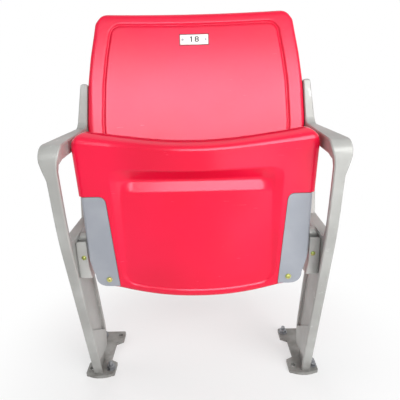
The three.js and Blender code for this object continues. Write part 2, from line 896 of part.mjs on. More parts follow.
// A pan-head screw along +Y or +X: domed head outside, shank inwards, origin under the head
function screwGeometry(size) {
  return turned([
    [0, -size.headHeight],
    [size.headRadius - size.crown * 2, -size.headHeight],
    [size.headRadius - size.crown / 2, -size.headHeight + size.crown],
    [size.headRadius, -gap],
    [size.headRadius, 0],
    [size.shank, 0],
    [size.shank, size.length],
    [0, size.length],
  ], smallSides);
}

// Seat shell rows and columns. Places are from the hinge axis with the seat up.
function seatHalfWidth(height) {
  const share = (height - seat.rearEdge) / (seat.frontEdge - seat.rearEdge);
  const taper = Math.max(0, (seat.rearTaperFrom - height) / (seat.rearTaperFrom - seat.rearEdge));
  const straight = mix(seatHalfRear, seatHalfFront, share) - seat.rearTaper * taper;
  const fromFront = seat.frontEdge - height;
  const fromRear = height - seat.rearEdge;
  return straight - roundedFall(fromFront, seat.frontCorner) - roundedFall(fromRear, seat.rearCorner);
}

function seatRows() {
  const low = seat.rearEdge;
  const high = seat.frontEdge;
  const wallFoot = low + recess.rearFrame;
  const roundShares = [0, 0.04, 0.17, 0.45, 1];
  const lipShares = [1, 0.62, 0.36, 0.16, 0.04, 0];
  return [
    ...roundShares.map((share) => ({ z: low + seat.sideRound * share, depth: 0 })),
    { z: wallFoot, depth: 0 },
    { z: wallFoot + recess.bottomWall, depth: recess.depthRear },
    { z: mix(wallFoot, recess.panelTop, 0.33), depth: mix(recess.depthRear, recess.depthFront, 0.3) },
    { z: mix(wallFoot, recess.panelTop, 0.66), depth: mix(recess.depthRear, recess.depthFront, 0.65) },
    { z: recess.panelTop, depth: recess.depthFront },
    {
      z: mix(recess.panelTop, recess.troughHeight, 0.5),
      depth: mix(recess.depthFront, recess.troughDepth, 0.55),
    },
    { z: recess.troughHeight, depth: recess.troughDepth },
    { z: recess.lipHeight, depth: 0 },
    { z: mix(recess.lipHeight, high - seat.lipRound, 0.5), depth: 0 },
    ...lipShares.map((share) => ({ z: high - seat.lipRound * share, depth: 0 })),
  ];
}

function mirroredColumns(half) {
  const other = half.slice(1).map((column) => ({ ...column, side: -1 })).reverse();
  return [...other, ...half.map((column) => ({ ...column, side: 1 }))];
}

function seatColumns() {
  const half = [
    ...[0, 0.3, 0.6, 0.85, 1].map((share) => ({ zone: 'panel', share })),
    { zone: 'wall', share: 1 },
    ...[0.4, 1].map((share) => ({ zone: 'frame', share })),
    ...[0.55, 0.83, 0.96, 1].map((share) => ({ zone: 'edge', share })),
  ];
  return mirroredColumns(half);
}

function seatPlace(row, column) {
  const width = seatHalfWidth(row.z);
  const along = (row.z - seat.rearEdge) / (recess.lipHeight - seat.rearEdge);
  const inner = mix(recess.innerRear, recess.innerFront, along);
  const outer = mix(recess.outerRear, recess.outerFront, along);
  const edgeStart = width - seat.sideRound;
  let x = inner * column.share;
  if (column.zone === 'wall') x = outer;
  if (column.zone === 'frame') x = mix(outer, edgeStart, column.share);
  if (column.zone === 'edge') x = mix(edgeStart, width, column.share);
  const frontCrown = smooth((row.z - recess.lipHeight) / (seat.frontEdge - recess.lipHeight));
  const rearCrown = 1 - smooth((row.z - seat.rearEdge) / (recess.panelTop - seat.rearEdge));
  const frontDip = seat.frontEdgeCrown * frontCrown * (1 - (x / width) ** 2);
  const rearDip = seat.rearEdgeCrown * rearCrown * (1 - Math.min(x / seat.bulgeHalfWidth, 1) ** 4);
  const z = row.z - frontDip - rearDip;
  return { x, z, width, edgeDistance: width - x, inPanel: column.zone === 'panel' };
}

function seatBulge(x, z) {
  const share = Math.min(x / seat.bulgeHalfWidth, 1);
  const along = (z - seat.rearEdge) / (seat.frontEdge - seat.rearEdge);
  return mix(seat.bulgeRear, seat.bulgeFront, along) * (1 - share * share) ** 2;
}

function seatUnderside(row, column) {
  const place = seatPlace(row, column);
  const side = roundedFall(place.edgeDistance, seat.sideRound);
  const front = roundedFall(seat.frontEdge - row.z, seat.lipRound);
  const rear = roundedFall(row.z - seat.rearEdge, seat.sideRound);
  const fall = Math.min(Math.hypot(side, front, rear), seat.lipRound);
  const depth = place.inPanel ? row.depth : 0;
  const y = seat.underside - seatBulge(place.x, row.z) + depth + fall;
  return [column.side * place.x, y, place.z];
}

function seatTop(row, column) {
  const place = seatPlace(row, column);
  const side = roundedFall(place.edgeDistance, seat.topRound);
  const front = roundedFall(seat.frontEdge - row.z, seat.topRound);
  const rear = roundedFall(row.z - seat.rearEdge, seat.topRound);
  const fall = Math.min(Math.hypot(side, front, rear), seat.topRound);
  const y = seat.underside + seat.thickness - seatBulge(place.x, row.z) - fall;
  return [column.side * place.x, y, place.z];
}

// Outline of the bracket's flange seen from the front, grown by a margin for the rebate in the shell
function flangeOutline(grow) {
  const { top, bottom, widthTop, widthBottom, innerCorner, outerCorner } = bracket;
  const outer = bracketOuter;
  const innerTop = outer - widthTop;
  const innerBottom = outer - widthBottom;
  const slope = (innerTop - innerBottom) / (top - bottom);
  const shape = new THREE.Shape();
  shape.moveTo(innerBottom - grow, bottom - grow);
  const tapered = outer - bracket.taper + grow;
  shape.lineTo(tapered - outerCorner, bottom - grow);
  shape.quadraticCurveTo(tapered, bottom - grow, tapered, bottom + outerCorner);
  shape.lineTo(outer + grow, bracket.webBottom);
  shape.lineTo(outer + grow, top + grow);
  shape.lineTo(innerTop + innerCorner, top + grow);
  const cornerX = innerTop - slope * innerCorner - grow;
  shape.quadraticCurveTo(innerTop - grow, top + grow, cornerX, top - innerCorner);
  return shape;
}

function seatShellSolid() {
  const rows = seatRows();
  const columns = seatColumns();
  const body = panelSolid(rows, columns, seatUnderside, seatTop);
  const rebateFloor = seat.underside + bracket.thickness + gap;
  const cutters = [];
  for (const side of [1, -1]) {
    const sideCut = block(
      bracketOuter - bracket.thickness - gap, seatHalfFront + overrun,
      seat.underside - overrun, seat.underside + seat.thickness + overrun,
      seat.rearEdge - seat.rearEdgeCrown, bracket.top + seat.rebateAbove,
    );
    const faceCut = alongY(flangeOutline(seat.rebateGroove), seat.underside - overrun, rebateFloor, 6);
    const boltHole = rodY(
      flangeBolt.shank + gap, seat.underside - overrun, seat.underside + flangeBolt.length + gap,
      flangeBoltX, flangeBolt.height, smallSides,
    );
    const screwHoles = sideScrew.heights.map((height) => rodX(
      sideScrew.shank + gap, bracketOuter - sideScrew.length - gap * 2, bracketOuter + overrun,
      sideScrew.back, height, smallSides,
    ));
    for (const cutter of [sideCut, faceCut, boltHole, ...screwHoles]) {
      cutters.push(side > 0 ? cutter : cutter.mirror([1, 0, 0]));
    }
  }
  return without(body, cutters);
}

// Pressed bracket: flange under the seat, a bend, and a web up the side with the ear of the hinge
function bracketSolid() {
  const { thickness, bend } = bracket;
  const outer = bracketOuter;
  const underFace = seat.underside;
  const flange = alongY(flangeOutline(0), underFace, underFace + thickness, 6);
  const web = new THREE.Shape();
  web.moveTo(underFace, bracket.webBottom);
  web.lineTo(underFace, bracket.top);
  web.lineTo(bracket.webRear, bracket.top);
  web.lineTo(bracket.webRear, bracket.earRadius);
  web.absarc(0, 0, bracket.earRadius, Math.PI / 2 - 0.25, -Math.PI / 2 + 0.25, true);
  web.lineTo(-bracket.earRadius, bracket.webBottom);
  const blank = joined([flange, alongX(web, outer - thickness, outer, 8)]);
  const bent = new THREE.Shape();
  bent.moveTo(0, underFace);
  bent.lineTo(outer - bend, underFace);
  bent.quadraticCurveTo(outer, underFace, outer, underFace + bend);
  bent.lineTo(outer, seat.thickness);
  bent.lineTo(0, seat.thickness);
  const bound = solidOf(alongZ(bent, bracket.bottom - overrun, bracket.top + overrun, 5));
  const holes = [
    rodY(flangeBolt.shank + gap, underFace - overrun, underFace + thickness + overrun,
      flangeBoltX, flangeBolt.height, smallSides),
    ...sideScrew.heights.map((height) => rodX(
      sideScrew.shank + gap, outer - thickness - overrun, outer + overrun, sideScrew.back, height, smallSides,
    )),
  ];
  return without(blank.intersect(bound), holes);
}

// Back shell rows and columns, in the plane of the upright's front face
const backWidths = [
  [back.bottom, backHalfBottom],
  [back.bottom / 2, mix(backHalfBottom, backHalfArm, 0.75)],
  ...backWidthShares.map(([height, width]) => [back.top * height, backHalfArm * width]),
];

function backHalfWidth(height) {
  let straight = 0;
  for (let i = 0; i < backWidths.length - 1; i += 1) {
    const [z0, w0] = backWidths[i];
    const [z1, w1] = backWidths[i + 1];
    if (height >= z0 && height <= z1) straight = mix(w0, w1, (height - z0) / (z1 - z0));
  }
  const fromTop = back.top - height;
  const fromBottom = height - back.bottom;
  return straight - roundedFall(fromTop, back.corner) - roundedFall(fromBottom, back.bottomCorner);
}

function backRows() {
  const grooveTop = back.top - back.rimTop;
  const grooveLow = grooveTop - back.groove;
  const shares = [0, 0.04, 0.17, 0.45, 1];
  return [
    ...shares.map((share) => ({ z: back.bottom + back.frontRound * share, panel: true })),
    { z: back.bottom + back.bottomCorner, panel: true },
    ...backWidths.slice(1, -1).map(([height]) => ({ z: height, panel: true })),
    { z: grooveLow, panel: true },
    { z: (grooveTop + grooveLow) / 2, groove: true },
    { z: grooveTop },
    ...shares.slice().reverse().map((share) => ({ z: back.top - back.frontRound * share })),
  ];
}

function backColumns() {
  const half = [
    ...[0, 0.25, 0.5, 0.75, 1].map((share) => ({ zone: 'panel', share })),
    { zone: 'groove', share: 0.5 },
    { zone: 'groove', share: 1 },
    { zone: 'rim', share: 1 },
    ...[0.55, 0.83, 0.96, 1].map((share) => ({ zone: 'edge', share })),
  ];
  return mirroredColumns(half);
}

function backPlace(row, column) {
  const width = backHalfWidth(row.z);
  const rimInner = width - back.rimSide;
  const panel = rimInner - back.groove;
  const edgeStart = width - back.frontRound;
  let x = panel * column.share;
  if (column.zone === 'groove') x = mix(panel, rimInner, column.share);
  if (column.zone === 'rim') x = edgeStart;
  if (column.zone === 'edge') x = mix(edgeStart, width, column.share);
  const crown = smooth(row.z / back.top) * (1 - (x / width) ** 2);
  const inSideGroove = column.zone === 'groove' && column.share < 1 && (row.panel || row.groove);
  const inTopGroove = row.groove && column.zone === 'panel';
  return {
    x,
    z: row.z + back.topCrown * crown,
    edgeDistance: width - x,
    grooved: inSideGroove || inTopGroove,
  };
}

function backSag(x) {
  return back.sag * (1 - Math.min(x / back.sagHalfWidth, 1) ** 2);
}

function backFront(row, column) {
  const place = backPlace(row, column);
  const side = roundedFall(place.edgeDistance, back.frontRound);
  const end = roundedFall(Math.min(back.top - row.z, row.z - back.bottom), back.frontRound);
  const fall = Math.min(Math.hypot(side, end), back.frontRound);
  const y = backSag(place.x) + (place.grooved ? back.grooveDepth : 0) + fall;
  return [column.side * place.x, y, place.z];
}

function backRear(row, column) {
  const place = backPlace(row, column);
  const side = roundedFall(place.edgeDistance, back.rearRound);
  const end = roundedFall(Math.min(back.top - row.z, row.z - back.bottom), back.rearRound);
  const fall = Math.min(Math.hypot(side, end), back.rearRound);
  const y = back.thickness + backSag(place.x) - fall;
  return [column.side * place.x, y, place.z];
}

function backShellSolid() {
  const body = panelSolid(backRows(), backColumns(), backFront, backRear);
  const pocket = block(
    -plate.width / 2 - plate.pocketGap, plate.width / 2 + plate.pocketGap,
    0, back.sag + plate.pocketDepth,
    plate.centre - plate.height / 2 - plate.pocketGap, plate.centre + plate.height / 2 + plate.pocketGap,
  );
  const cutters = [pocket];
  for (const side of [1, -1]) {
    cutters.push(rodY(
      rivet.shank + gap, back.sag, back.sag + plate.pocketDepth + rivet.length,
      side * (plate.width / 2 - rivet.fromEnd), plate.centre, smallSides,
    ));
    for (const height of lug.heights) {
      const from = lugFront + lug.thickness - backBolt.length;
      cutters.push(rodY(
        backBolt.shank + gap, from, back.thickness + overrun, side * lugBoltX, height, smallSides,
      ));
    }
  }
  return without(body, cutters);
}

const plateBack = back.sag + plate.pocketDepth - gap;
const plateFront = plateBack - plate.thickness;

function plateSolid() {
  const half = plate.width / 2;
  const low = plate.centre - plate.height / 2;
  const high = plate.centre + plate.height / 2;
  const body = alongY(polygon([
    [-half + plate.corner, low], [half - plate.corner, low], [half, low + plate.corner],
    [half, high - plate.corner], [half - plate.corner, high], [-half + plate.corner, high],
    [-half, high - plate.corner], [-half, low + plate.corner],
  ]), plateFront, plateBack);
  const holes = [1, -1].map((side) => rodY(
    rivet.shank + gap, plateFront - overrun, plateBack + overrun,
    side * (half - rivet.fromEnd), plate.centre, smallSides,
  ));
  return without(body, holes);
}

function rivetGeometry() {
  return turned([
    [0, -rivet.headHeight],
    [rivet.headRadius / 2, -rivet.headHeight],
    [rivet.headRadius, -rivet.headHeight / 4],
    [rivet.headRadius, 0],
    [rivet.shank, 0],
    [rivet.shank, rivet.length],
    [0, rivet.length],
  ], smallSides);
}

function backBoltSolid() {
  const corner = backBolt.across / 2 / Math.cos(Math.PI / 6);
  return rodY(corner, 0, backBolt.headHeight, 0, 0, 6).add(
    rodY(backBolt.shank, gap - backBolt.length, overrun, 0, 0, smallSides),
  );
}

function addMesh(parent, name, geometry, material) {
  const mesh = new THREE.Mesh(geometry, material);
  mesh.name = name;
  parent.add(mesh);
  return mesh;
}

// Fixed frame: everything that stays with the standards
const frame = new THREE.Group();
const standardGeometry = geometryOf(standardSolid());
const bushGeometry = geometryOf(bushSolid());
const coverGeometry = housingGeometry();
const wireGeometry = springGeometry();
const coverScrewGeometry = screwGeometry(housingScrew);
const backBoltGeometry = geometryOf(backBoltSolid());

const shellGroup = new THREE.Group();
shellGroup.position.set(0, standard.junctionBack, standard.armTop);
shellGroup.rotation.x = -recline;
frame.add(shellGroup);
addMesh(shellGroup, 'back_shell', geometryOf(backShellSolid()), redPlastic);
addMesh(shellGroup, 'number_plate', geometryOf(plateSolid()), whitePlastic);

// Moving seat: turns about the hinge axis
const seatGroup = new THREE.Group();
seatGroup.position.set(0, hinge.back, hingeHeight);
addMesh(seatGroup, 'seat_shell', geometryOf(seatShellSolid()), redPlastic);
const bracketGeometry = geometryOf(bracketSolid());
const pinGeometry = geometryOf(pinSolid());
const nutGeometry = geometryOf(nutSolid());
const flangeBoltGeometry = screwGeometry(flangeBolt);
const sideScrewGeometry = screwGeometry(sideScrew);
sideScrewGeometry.rotateZ(Math.PI / 2);

for (const [side, label] of [[-1, 'left'], [1, 'right']]) {
  const fixed = new THREE.Group();
  fixed.scale.x = side;
  frame.add(fixed);
  addMesh(fixed, `${label}_standard`, standardGeometry, aluminium);
  addMesh(fixed, `${label}_hinge_housing`, coverGeometry, aluminium);
  addMesh(fixed, `${label}_pivot_bush`, bushGeometry, nylon);
  addMesh(fixed, `${label}_return_spring`, wireGeometry, springSteel);
  const coverScrew = addMesh(fixed, `${label}_housing_screw`, coverScrewGeometry, zinc);
  coverScrew.position.set(housingScrewX, housing.front - gap, housingScrewHeight);

  const behind = new THREE.Group();
  behind.scale.x = side;
  shellGroup.add(behind);
  const plateRivet = addMesh(behind, `${label}_plate_rivet`, rivetGeometry(), steel);
  plateRivet.position.set(plate.width / 2 - rivet.fromEnd, plateFront - gap, plate.centre);
  lug.heights.forEach((height, i) => {
    const bolt = addMesh(behind, `${label}_${['lower', 'upper'][i]}_back_bolt`, backBoltGeometry, zinc);
    bolt.position.set(lugBoltX, lugFront + lug.thickness + gap, height);
  });

  const moving = new THREE.Group();
  moving.scale.x = side;
  seatGroup.add(moving);
  addMesh(moving, `${label}_seat_bracket`, bracketGeometry, steel);
  const hingeParts = new THREE.Group();
  hingeParts.position.set(0, -hinge.back, -hingeHeight);
  moving.add(hingeParts);
  addMesh(hingeParts, `${label}_pivot_pin`, pinGeometry, steel);
  addMesh(hingeParts, `${label}_pivot_nut`, nutGeometry, zinc);
  const bolt = addMesh(moving, `${label}_flange_bolt`, flangeBoltGeometry, zinc);
  bolt.position.set(flangeBoltX, seat.underside - gap, flangeBolt.height);
  sideScrew.heights.forEach((height, i) => {
    const screw = addMesh(moving, `${label}_${['rear', 'front'][i]}_side_screw`, sideScrewGeometry, zinc);
    screw.position.set(bracketOuter + gap, sideScrew.back, height);
  });
}

// Origin on the floor under the middle of the whole seat
const assembly = new THREE.Group();
assembly.add(frame);
assembly.add(seatGroup);
assembly.updateMatrixWorld(true);
const bounds = new THREE.Box3().setFromObject(assembly, true);
assembly.position.y = -(bounds.min.y + bounds.max.y) / 2;
const group = new THREE.Group();
group.name = 'stadium_seat';
group.add(assembly);

export default group;
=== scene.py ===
import json
import math

import bmesh
import bpy
from mathutils import Matrix, Vector


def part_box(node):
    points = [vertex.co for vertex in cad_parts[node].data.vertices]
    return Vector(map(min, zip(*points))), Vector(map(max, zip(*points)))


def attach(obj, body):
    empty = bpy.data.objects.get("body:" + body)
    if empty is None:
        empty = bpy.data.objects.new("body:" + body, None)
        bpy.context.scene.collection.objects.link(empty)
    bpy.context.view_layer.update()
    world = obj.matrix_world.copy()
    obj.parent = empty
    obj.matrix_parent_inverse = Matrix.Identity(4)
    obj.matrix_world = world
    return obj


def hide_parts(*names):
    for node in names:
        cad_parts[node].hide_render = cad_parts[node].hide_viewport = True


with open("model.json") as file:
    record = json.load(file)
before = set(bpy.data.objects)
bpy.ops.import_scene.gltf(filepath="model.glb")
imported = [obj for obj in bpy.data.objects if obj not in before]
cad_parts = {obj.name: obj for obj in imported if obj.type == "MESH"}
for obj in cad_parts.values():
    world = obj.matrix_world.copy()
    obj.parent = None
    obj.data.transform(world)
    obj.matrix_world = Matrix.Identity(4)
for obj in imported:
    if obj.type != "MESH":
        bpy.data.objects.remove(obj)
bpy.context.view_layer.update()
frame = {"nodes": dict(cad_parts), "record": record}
print("frame loaded:", len(frame["nodes"]), "nodes")

# Sizes in the dictionaries below are in millimetres, the meshes are in metres. The sketch frame
# has its Y zero at the front of the legs on the floor, and the hinge pin gives its place here.
mm = 0.001
sketch = {"hingeFront": -24, "backFront": 109, "armTop": 609.5, "recline": 15}
pinLow, pinHigh = (Vector(corner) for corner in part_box("right_pivot_pin"))
hingePlace = Vector((0, (pinLow.y + pinHigh.y) / 2, (pinLow.z + pinHigh.z) / 2))
sketchShift = hingePlace.y - sketch["hingeFront"] * mm
backPlace = Vector((0, sketch["backFront"] * mm + sketchShift, sketch["armTop"] * mm))
backTurn = Matrix.Translation(backPlace) @ Matrix.Rotation(math.radians(-sketch["recline"]), 4, "X")


# Camera: place in metres, angles in degrees, focal length and picture width in pixels

view = {"side": 0.0145, "back": -0.789, "height": 0.740, "left": 0.6, "down": 19.1, "roll": -1.43,
        "focal": 390, "width": 400, "sensor": 36}


def addCamera():
    data = bpy.data.cameras.new("photoView")
    data.sensor_width = view["sensor"]
    data.lens = data.sensor_width * view["focal"] / view["width"]
    camera = bpy.data.objects.new("photoView", data)
    bpy.context.scene.collection.objects.link(camera)
    place = Matrix.Translation((view["side"], view["back"] + sketchShift, view["height"]))
    turn = Matrix.Rotation(math.radians(view["left"]), 4, "Z")
    tilt = Matrix.Rotation(math.radians(90 - view["down"]), 4, "X")
    roll = Matrix.Rotation(math.radians(view["roll"]), 4, "Z")
    camera.matrix_world = place @ turn @ tilt @ roll
    bpy.context.scene.camera = camera


addCamera()
print("camera set")


# Shader tools

class Wire:
    # A socket that takes plain arithmetic, adding its Math nodes to its board
    def __init__(self, board, socket):
        self.board = board
        self.socket = socket

    def __add__(self, other):
        return self.board.maths("ADD", self, other)

    def __radd__(self, other):
        return self.board.maths("ADD", other, self)

    def __sub__(self, other):
        return self.board.maths("SUBTRACT", self, other)

    def __rsub__(self, other):
        return self.board.maths("SUBTRACT", other, self)

    def __mul__(self, other):
        return self.board.maths("MULTIPLY", self, other)

    def __rmul__(self, other):
        return self.board.maths("MULTIPLY", other, self)

    def over(self, low, high):
        # 0 below low, 1 above high, with a soft step between
        return self.board.node("ShaderNodeMapRange", {"interpolation_type": "SMOOTHSTEP"},
                               {"Value": self, "From Min": low, "From Max": high}, out="Result")


class Board:
    # A node tree. A socket of a node is named by its label, or by its number where labels repeat.
    def __init__(self, tree):
        self.tree = tree

    def node(self, kind, settings, values, out=0):
        made = self.tree.nodes.new(kind)
        for name, value in settings.items():
            setattr(made, name, value)
        for slot, value in values.items():
            if isinstance(value, Wire):
                self.tree.links.new(value.socket, made.inputs[slot])
            else:
                made.inputs[slot].default_value = value
        return Wire(self, made.outputs[out])

    def maths(self, operation, *values, clamp=False):
        settings = {"operation": operation, "use_clamp": clamp}
        return self.node("ShaderNodeMath", settings, dict(enumerate(values)))


class Finish(Board):
    # A material under construction, with its shader and its Object coordinates
    def __init__(self, name, **fixed):
        self.material = bpy.data.materials.new(name)
        self.material.use_nodes = True
        super().__init__(self.material.node_tree)
        self.shader = self.tree.nodes["Principled BSDF"]
        for label, value in fixed.items():
            self.shader.inputs[label.replace("_", " ")].default_value = value
        self.place = self.node("ShaderNodeTexCoord", {}, {}, out="Object")

    def noise(self, scale, detail, roughness=0.5, place=None):
        return self.node("ShaderNodeTexNoise", {}, {"Vector": place or self.place, "Scale": scale,
                                                    "Detail": detail, "Roughness": roughness})

    def patches(self, scale, detail, low, high, roughness=0.5, place=None):
        # Noise with a soft step between two of its levels
        return self.noise(scale, detail, roughness, place).over(low, high)

    def varied(self, base, change, scale, detail):
        # A base value with noise on top
        return base + self.noise(scale, detail) * change

    def cells(self, scale):
        values = {"Vector": self.place, "Scale": scale}
        return self.node("ShaderNodeTexVoronoi", {"feature": "F1"}, values, out="Distance")

    def stretched(self, scale):
        return self.node("ShaderNodeMapping", {}, {"Vector": self.place, "Scale": scale})

    def axis(self, label):
        return self.node("ShaderNodeSeparateXYZ", {}, {"Vector": self.place}, out=label)

    def mixed(self, share, first, second):
        return self.node("ShaderNodeMix", {"data_type": "RGBA"}, {0: share, 6: first, 7: second}, out=2)

    def feed(self, label, wire):
        self.tree.links.new(wire.socket, self.shader.inputs[label])

    def bump(self, height, strength, distance):
        values = {"Height": height, "Strength": strength, "Distance": distance}
        self.feed("Normal", self.node("ShaderNodeBump", {}, values))


def tone(red, green, blue):
    # A colour written as it looks on screen, 0 to 255, turned into linear light
    def linear(value):
        share = value / 255
        return share / 12.92 if share <= 0.04045 else ((share + 0.055) / 1.055) ** 2.4
    return (linear(red), linear(green), linear(blue), 1.0)


# Finishes

# A noise is written as scale and detail, and patches as a noise with the low and high level of
# their step. A roughness is its base, its change and a noise. A bump is strength and depth in metres.

def castingFinish(name, lift):
    # Silver powder coat on a sand casting: fine orange peel, slow cloudy tone, rub marks, darker in patches
    # towards the floor
    # lift makes a lighter copy of the same coat, which is painted light
    look = {
        "base": tone(176 + lift, 177 + lift, 174 + lift), "dark": tone(158 + lift, 158 + lift, 155 + lift),
        "cloud": (9, 3, 0.35, 0.7), "rub": tone(198, 198, 196), "rubs": (60, 4, 0.58, 0.72, 0.65),
        "rubAreas": (14, 2, 0.5, 0.62), "rubShare": 0.6, "rubRough": -0.08, "darkLow": tone(106, 104, 100),
        "darkLowTop": 0.09, "darkLowPatches": (35, 4, 0.35, 0.7), "darkLowLeast": 0.45, "darkLowMore": 0.4,
        "roughness": (0.4, 0.14, 25, 3), "peel": (240, 2), "finePeel": (900, 2), "fineShare": 0.5,
        "bump": (0.12, 0.0006),
    }
    f = Finish(name, Metallic=0.25)
    colour = f.mixed(f.patches(*look["cloud"]), look["dark"], look["base"])
    rubs = f.patches(*look["rubs"]) * f.patches(*look["rubAreas"])
    colour = f.mixed(rubs * look["rubShare"], colour, look["rub"])
    # Darker in patches towards the floor
    low = 1 - f.axis("Z").over(0.0, look["darkLowTop"])
    darkLow = low * (f.patches(*look["darkLowPatches"]) * look["darkLowMore"] + look["darkLowLeast"])
    f.feed("Base Color", f.mixed(darkLow, colour, look["darkLow"]))
    f.feed("Roughness", f.varied(*look["roughness"]) + rubs * look["rubRough"])
    f.bump(f.noise(*look["finePeel"]) * look["fineShare"] + f.noise(*look["peel"]), *look["bump"])
    return f.material


def plateShadeMask(f, look):
    # 1 on the shell close round the number plate and in front, 0 elsewhere: where shade is painted round the
    # plate
    plate = frame["nodes"]["number_plate"]
    corners = [plate.matrix_world @ vertex.co for vertex in plate.data.vertices]
    apart = []
    for axis, index in (("X", 0), ("Z", 2)):
        low, high = min(c[index] for c in corners), max(c[index] for c in corners)
        apart.append(f.maths("ABSOLUTE", f.axis(axis) - (low + high) / 2) - (high - low) / 2)
    beside = 1 - f.maths("MAXIMUM", *apart).over(look["plateShadeFrom"], look["plateShadeTo"])
    behind = max(c.y for c in corners) + look["plateShadeDepth"]
    return beside * (1 - f.axis("Y").over(behind, behind + look["plateShadeSoft"]))


def shellFinish():
    # Blow-moulded polyethylene: clear red, fine spark texture, faint scuffs, painted shade round the plate
    look = {
        "base": tone(221, 6, 54), "deep": tone(214, 3, 47), "cloud": (5, 2, 0.35, 0.65),
        "sheen": (1, 0.68, 0.84, 1), "scuff": tone(228, 50, 84), "strokes": (1, 3, 0.63, 0.7, 0.6),
        "strokeScale": (28, 28, 210), "strokeAreas": (11, 2, 0.52, 0.6), "strokeColour": 0.1,
        # The dark red round the number plate and its reach, below, are painted shade
        "strokeRough": 0.03, "plateShadeTone": tone(120, 0, 22), "plateShadeFrom": 0.0011, "plateShadeTo": 0.0026,
        "plateShadeDepth": 0.004, "plateShadeSoft": 0.001, "roughness": (0.22, 0.06, 18, 3), "spark": (1300, 2),
        "cells": 700, "cellShare": 0.4, "bump": (0.08, 0.0004),
    }
    f = Finish("redShell", Specular_IOR_Level=0.56, Specular_Tint=look["sheen"])
    colour = f.mixed(f.patches(*look["cloud"]), look["deep"], look["base"])
    strokes = f.patches(*look["strokes"], f.stretched(look["strokeScale"])) * f.patches(*look["strokeAreas"])
    colour = f.mixed(strokes * look["strokeColour"], colour, look["scuff"])
    # A dark red line round the number plate is painted shade
    f.feed("Base Color", f.mixed(plateShadeMask(f, look), colour, look["plateShadeTone"]))
    f.feed("Roughness", f.varied(*look["roughness"]) + strokes * look["strokeRough"])
    f.bump(f.noise(*look["spark"]) + f.cells(look["cells"]) * look["cellShare"], *look["bump"])
    return f.material


def bracketFinish():
    # Pressed steel under a smooth grey coat
    look = {"base": tone(146, 150, 158), "pale": tone(157, 160, 167), "cloud": (12, 3, 0.35, 0.7),
            "roughness": (0.34, 0.12, 40, 3), "grain": (700, 2), "bump": (0.06, 0.0004)}
    f = Finish("coatedSteel", Metallic=0.3)
    f.feed("Base Color", f.mixed(f.patches(*look["cloud"]), look["base"], look["pale"]))
    f.feed("Roughness", f.varied(*look["roughness"]))
    f.bump(f.noise(*look["grain"]), *look["bump"])
    return f.material


def zincFinish():
    # Yellow passivated zinc with its green and pink bloom
    look = {"base": tone(205, 200, 120), "green": tone(170, 190, 110), "greenAreas": (160, 2, 0.4, 0.6),
            "pink": tone(214, 176, 132), "pinkAreas": (110, 2, 0.55, 0.7), "pinkShare": 0.6,
            "roughness": (0.24, 0.16, 260, 3)}
    f = Finish("yellowZinc", Metallic=0.8)
    colour = f.mixed(f.patches(*look["greenAreas"]), look["base"], look["green"])
    f.feed("Base Color", f.mixed(f.patches(*look["pinkAreas"]) * look["pinkShare"], colour, look["pink"]))
    f.feed("Roughness", f.varied(*look["roughness"]))
    return f.material


def brightZincFinish():
    # Weathered blue-white zinc of the floor anchors
    look = {"base": tone(158, 159, 162), "dark": tone(128, 130, 134), "cloud": (140, 2),
            "roughness": (0.3, 0.16, 260, 3)}
    f = Finish("brightZinc", Metallic=0.95)
    f.feed("Base Color", f.mixed(f.noise(*look["cloud"]), look["base"], look["dark"]))
    f.feed("Roughness", f.varied(*look["roughness"]))
    return f.material


def wireFinish():
    # Drawn spring wire with a film of oil
    look = {"base": tone(96, 98, 102), "dark": tone(60, 61, 64), "cloud": (90, 3),
            "roughness": (0.28, 0.2, 150, 2)}
    f = Finish("oiledWire", Metallic=0.9)
    f.feed("Base Color", f.mixed(f.noise(*look["cloud"]), look["base"], look["dark"]))
    f.feed("Roughness", f.varied(*look["roughness"]))
    return f.material


def nylonFinish():
    look = {"base": tone(40, 41, 44), "worn": tone(58, 59, 62), "cloud": (120, 2), "grain": (500, 2),
            "bump": (0.1, 0.0004)}
    f = Finish("blackNylon")
    f.feed("Base Color", f.mixed(f.noise(*look["cloud"]), look["base"], look["worn"]))
    f.bump(f.noise(*look["grain"]), *look["bump"])
    return f.material


def plateFinish():
    look = {"base": tone(244, 243, 238), "soiled": tone(232, 230, 224), "cloud": (40, 3, 0.4, 0.7),
            "roughness": (0.3, 0.12, 90, 2)}
    f = Finish("whitePlate")
    f.feed("Base Color", f.mixed(f.patches(*look["cloud"]), look["base"], look["soiled"]))
    f.feed("Roughness", f.varied(*look["roughness"]))
    return f.material


def inkFinish():
    # Printed grey-black paint of the seat number
    look = {"base": tone(24, 26, 29), "thin": tone(40, 42, 45), "cloud": (500, 2)}
    f = Finish("numberInk", Roughness=0.45)
    f.feed("Base Color", f.mixed(f.noise(*look["cloud"]), look["base"], look["thin"]))
    return f.material


# The slots of the CAD nodes, then three finishes for pieces of this script
finishes = {
    "casting": castingFinish("silverCasting", 0),
    "red_shell": shellFinish(),
    "bracket_steel": bracketFinish(),
    "zinc": zincFinish(),
    "spring_steel": wireFinish(),
    "nylon": nylonFinish(),
    "white_plate": plateFinish(),
    # The housings' copy of the casting coat is lighter: painted light
    "litCasting": castingFinish("litSilverCasting", 16),
    "anchor": brightZincFinish(),
    "ink": inkFinish(),
}
slotOf = {entry["node"]: entry["material_slot"] for entry in frame["record"]["subparts"]}
for name, node in frame["nodes"].items():
    node.data.materials.clear()
    node.data.materials.append(finishes[slotOf[name]])
print("finishes:", len(finishes))


# Modelling tools

def startWith(name, primitive, **settings):
    # A new primitive with nothing else selected
    if bpy.context.mode != "OBJECT":
        bpy.ops.object.mode_set(mode="OBJECT")
    bpy.ops.object.select_all(action="DESELECT")
    primitive(**settings)
    piece = bpy.context.object
    piece.name = piece.data.name = name
    return piece


def only(piece):
    bpy.ops.object.select_all(action="DESELECT")
    piece.select_set(True)
    bpy.context.view_layer.objects.active = piece


def beginEdit(piece):
    only(piece)
    bpy.ops.object.mode_set(mode="EDIT")


def endEdit():
    bpy.ops.object.mode_set(mode="OBJECT")


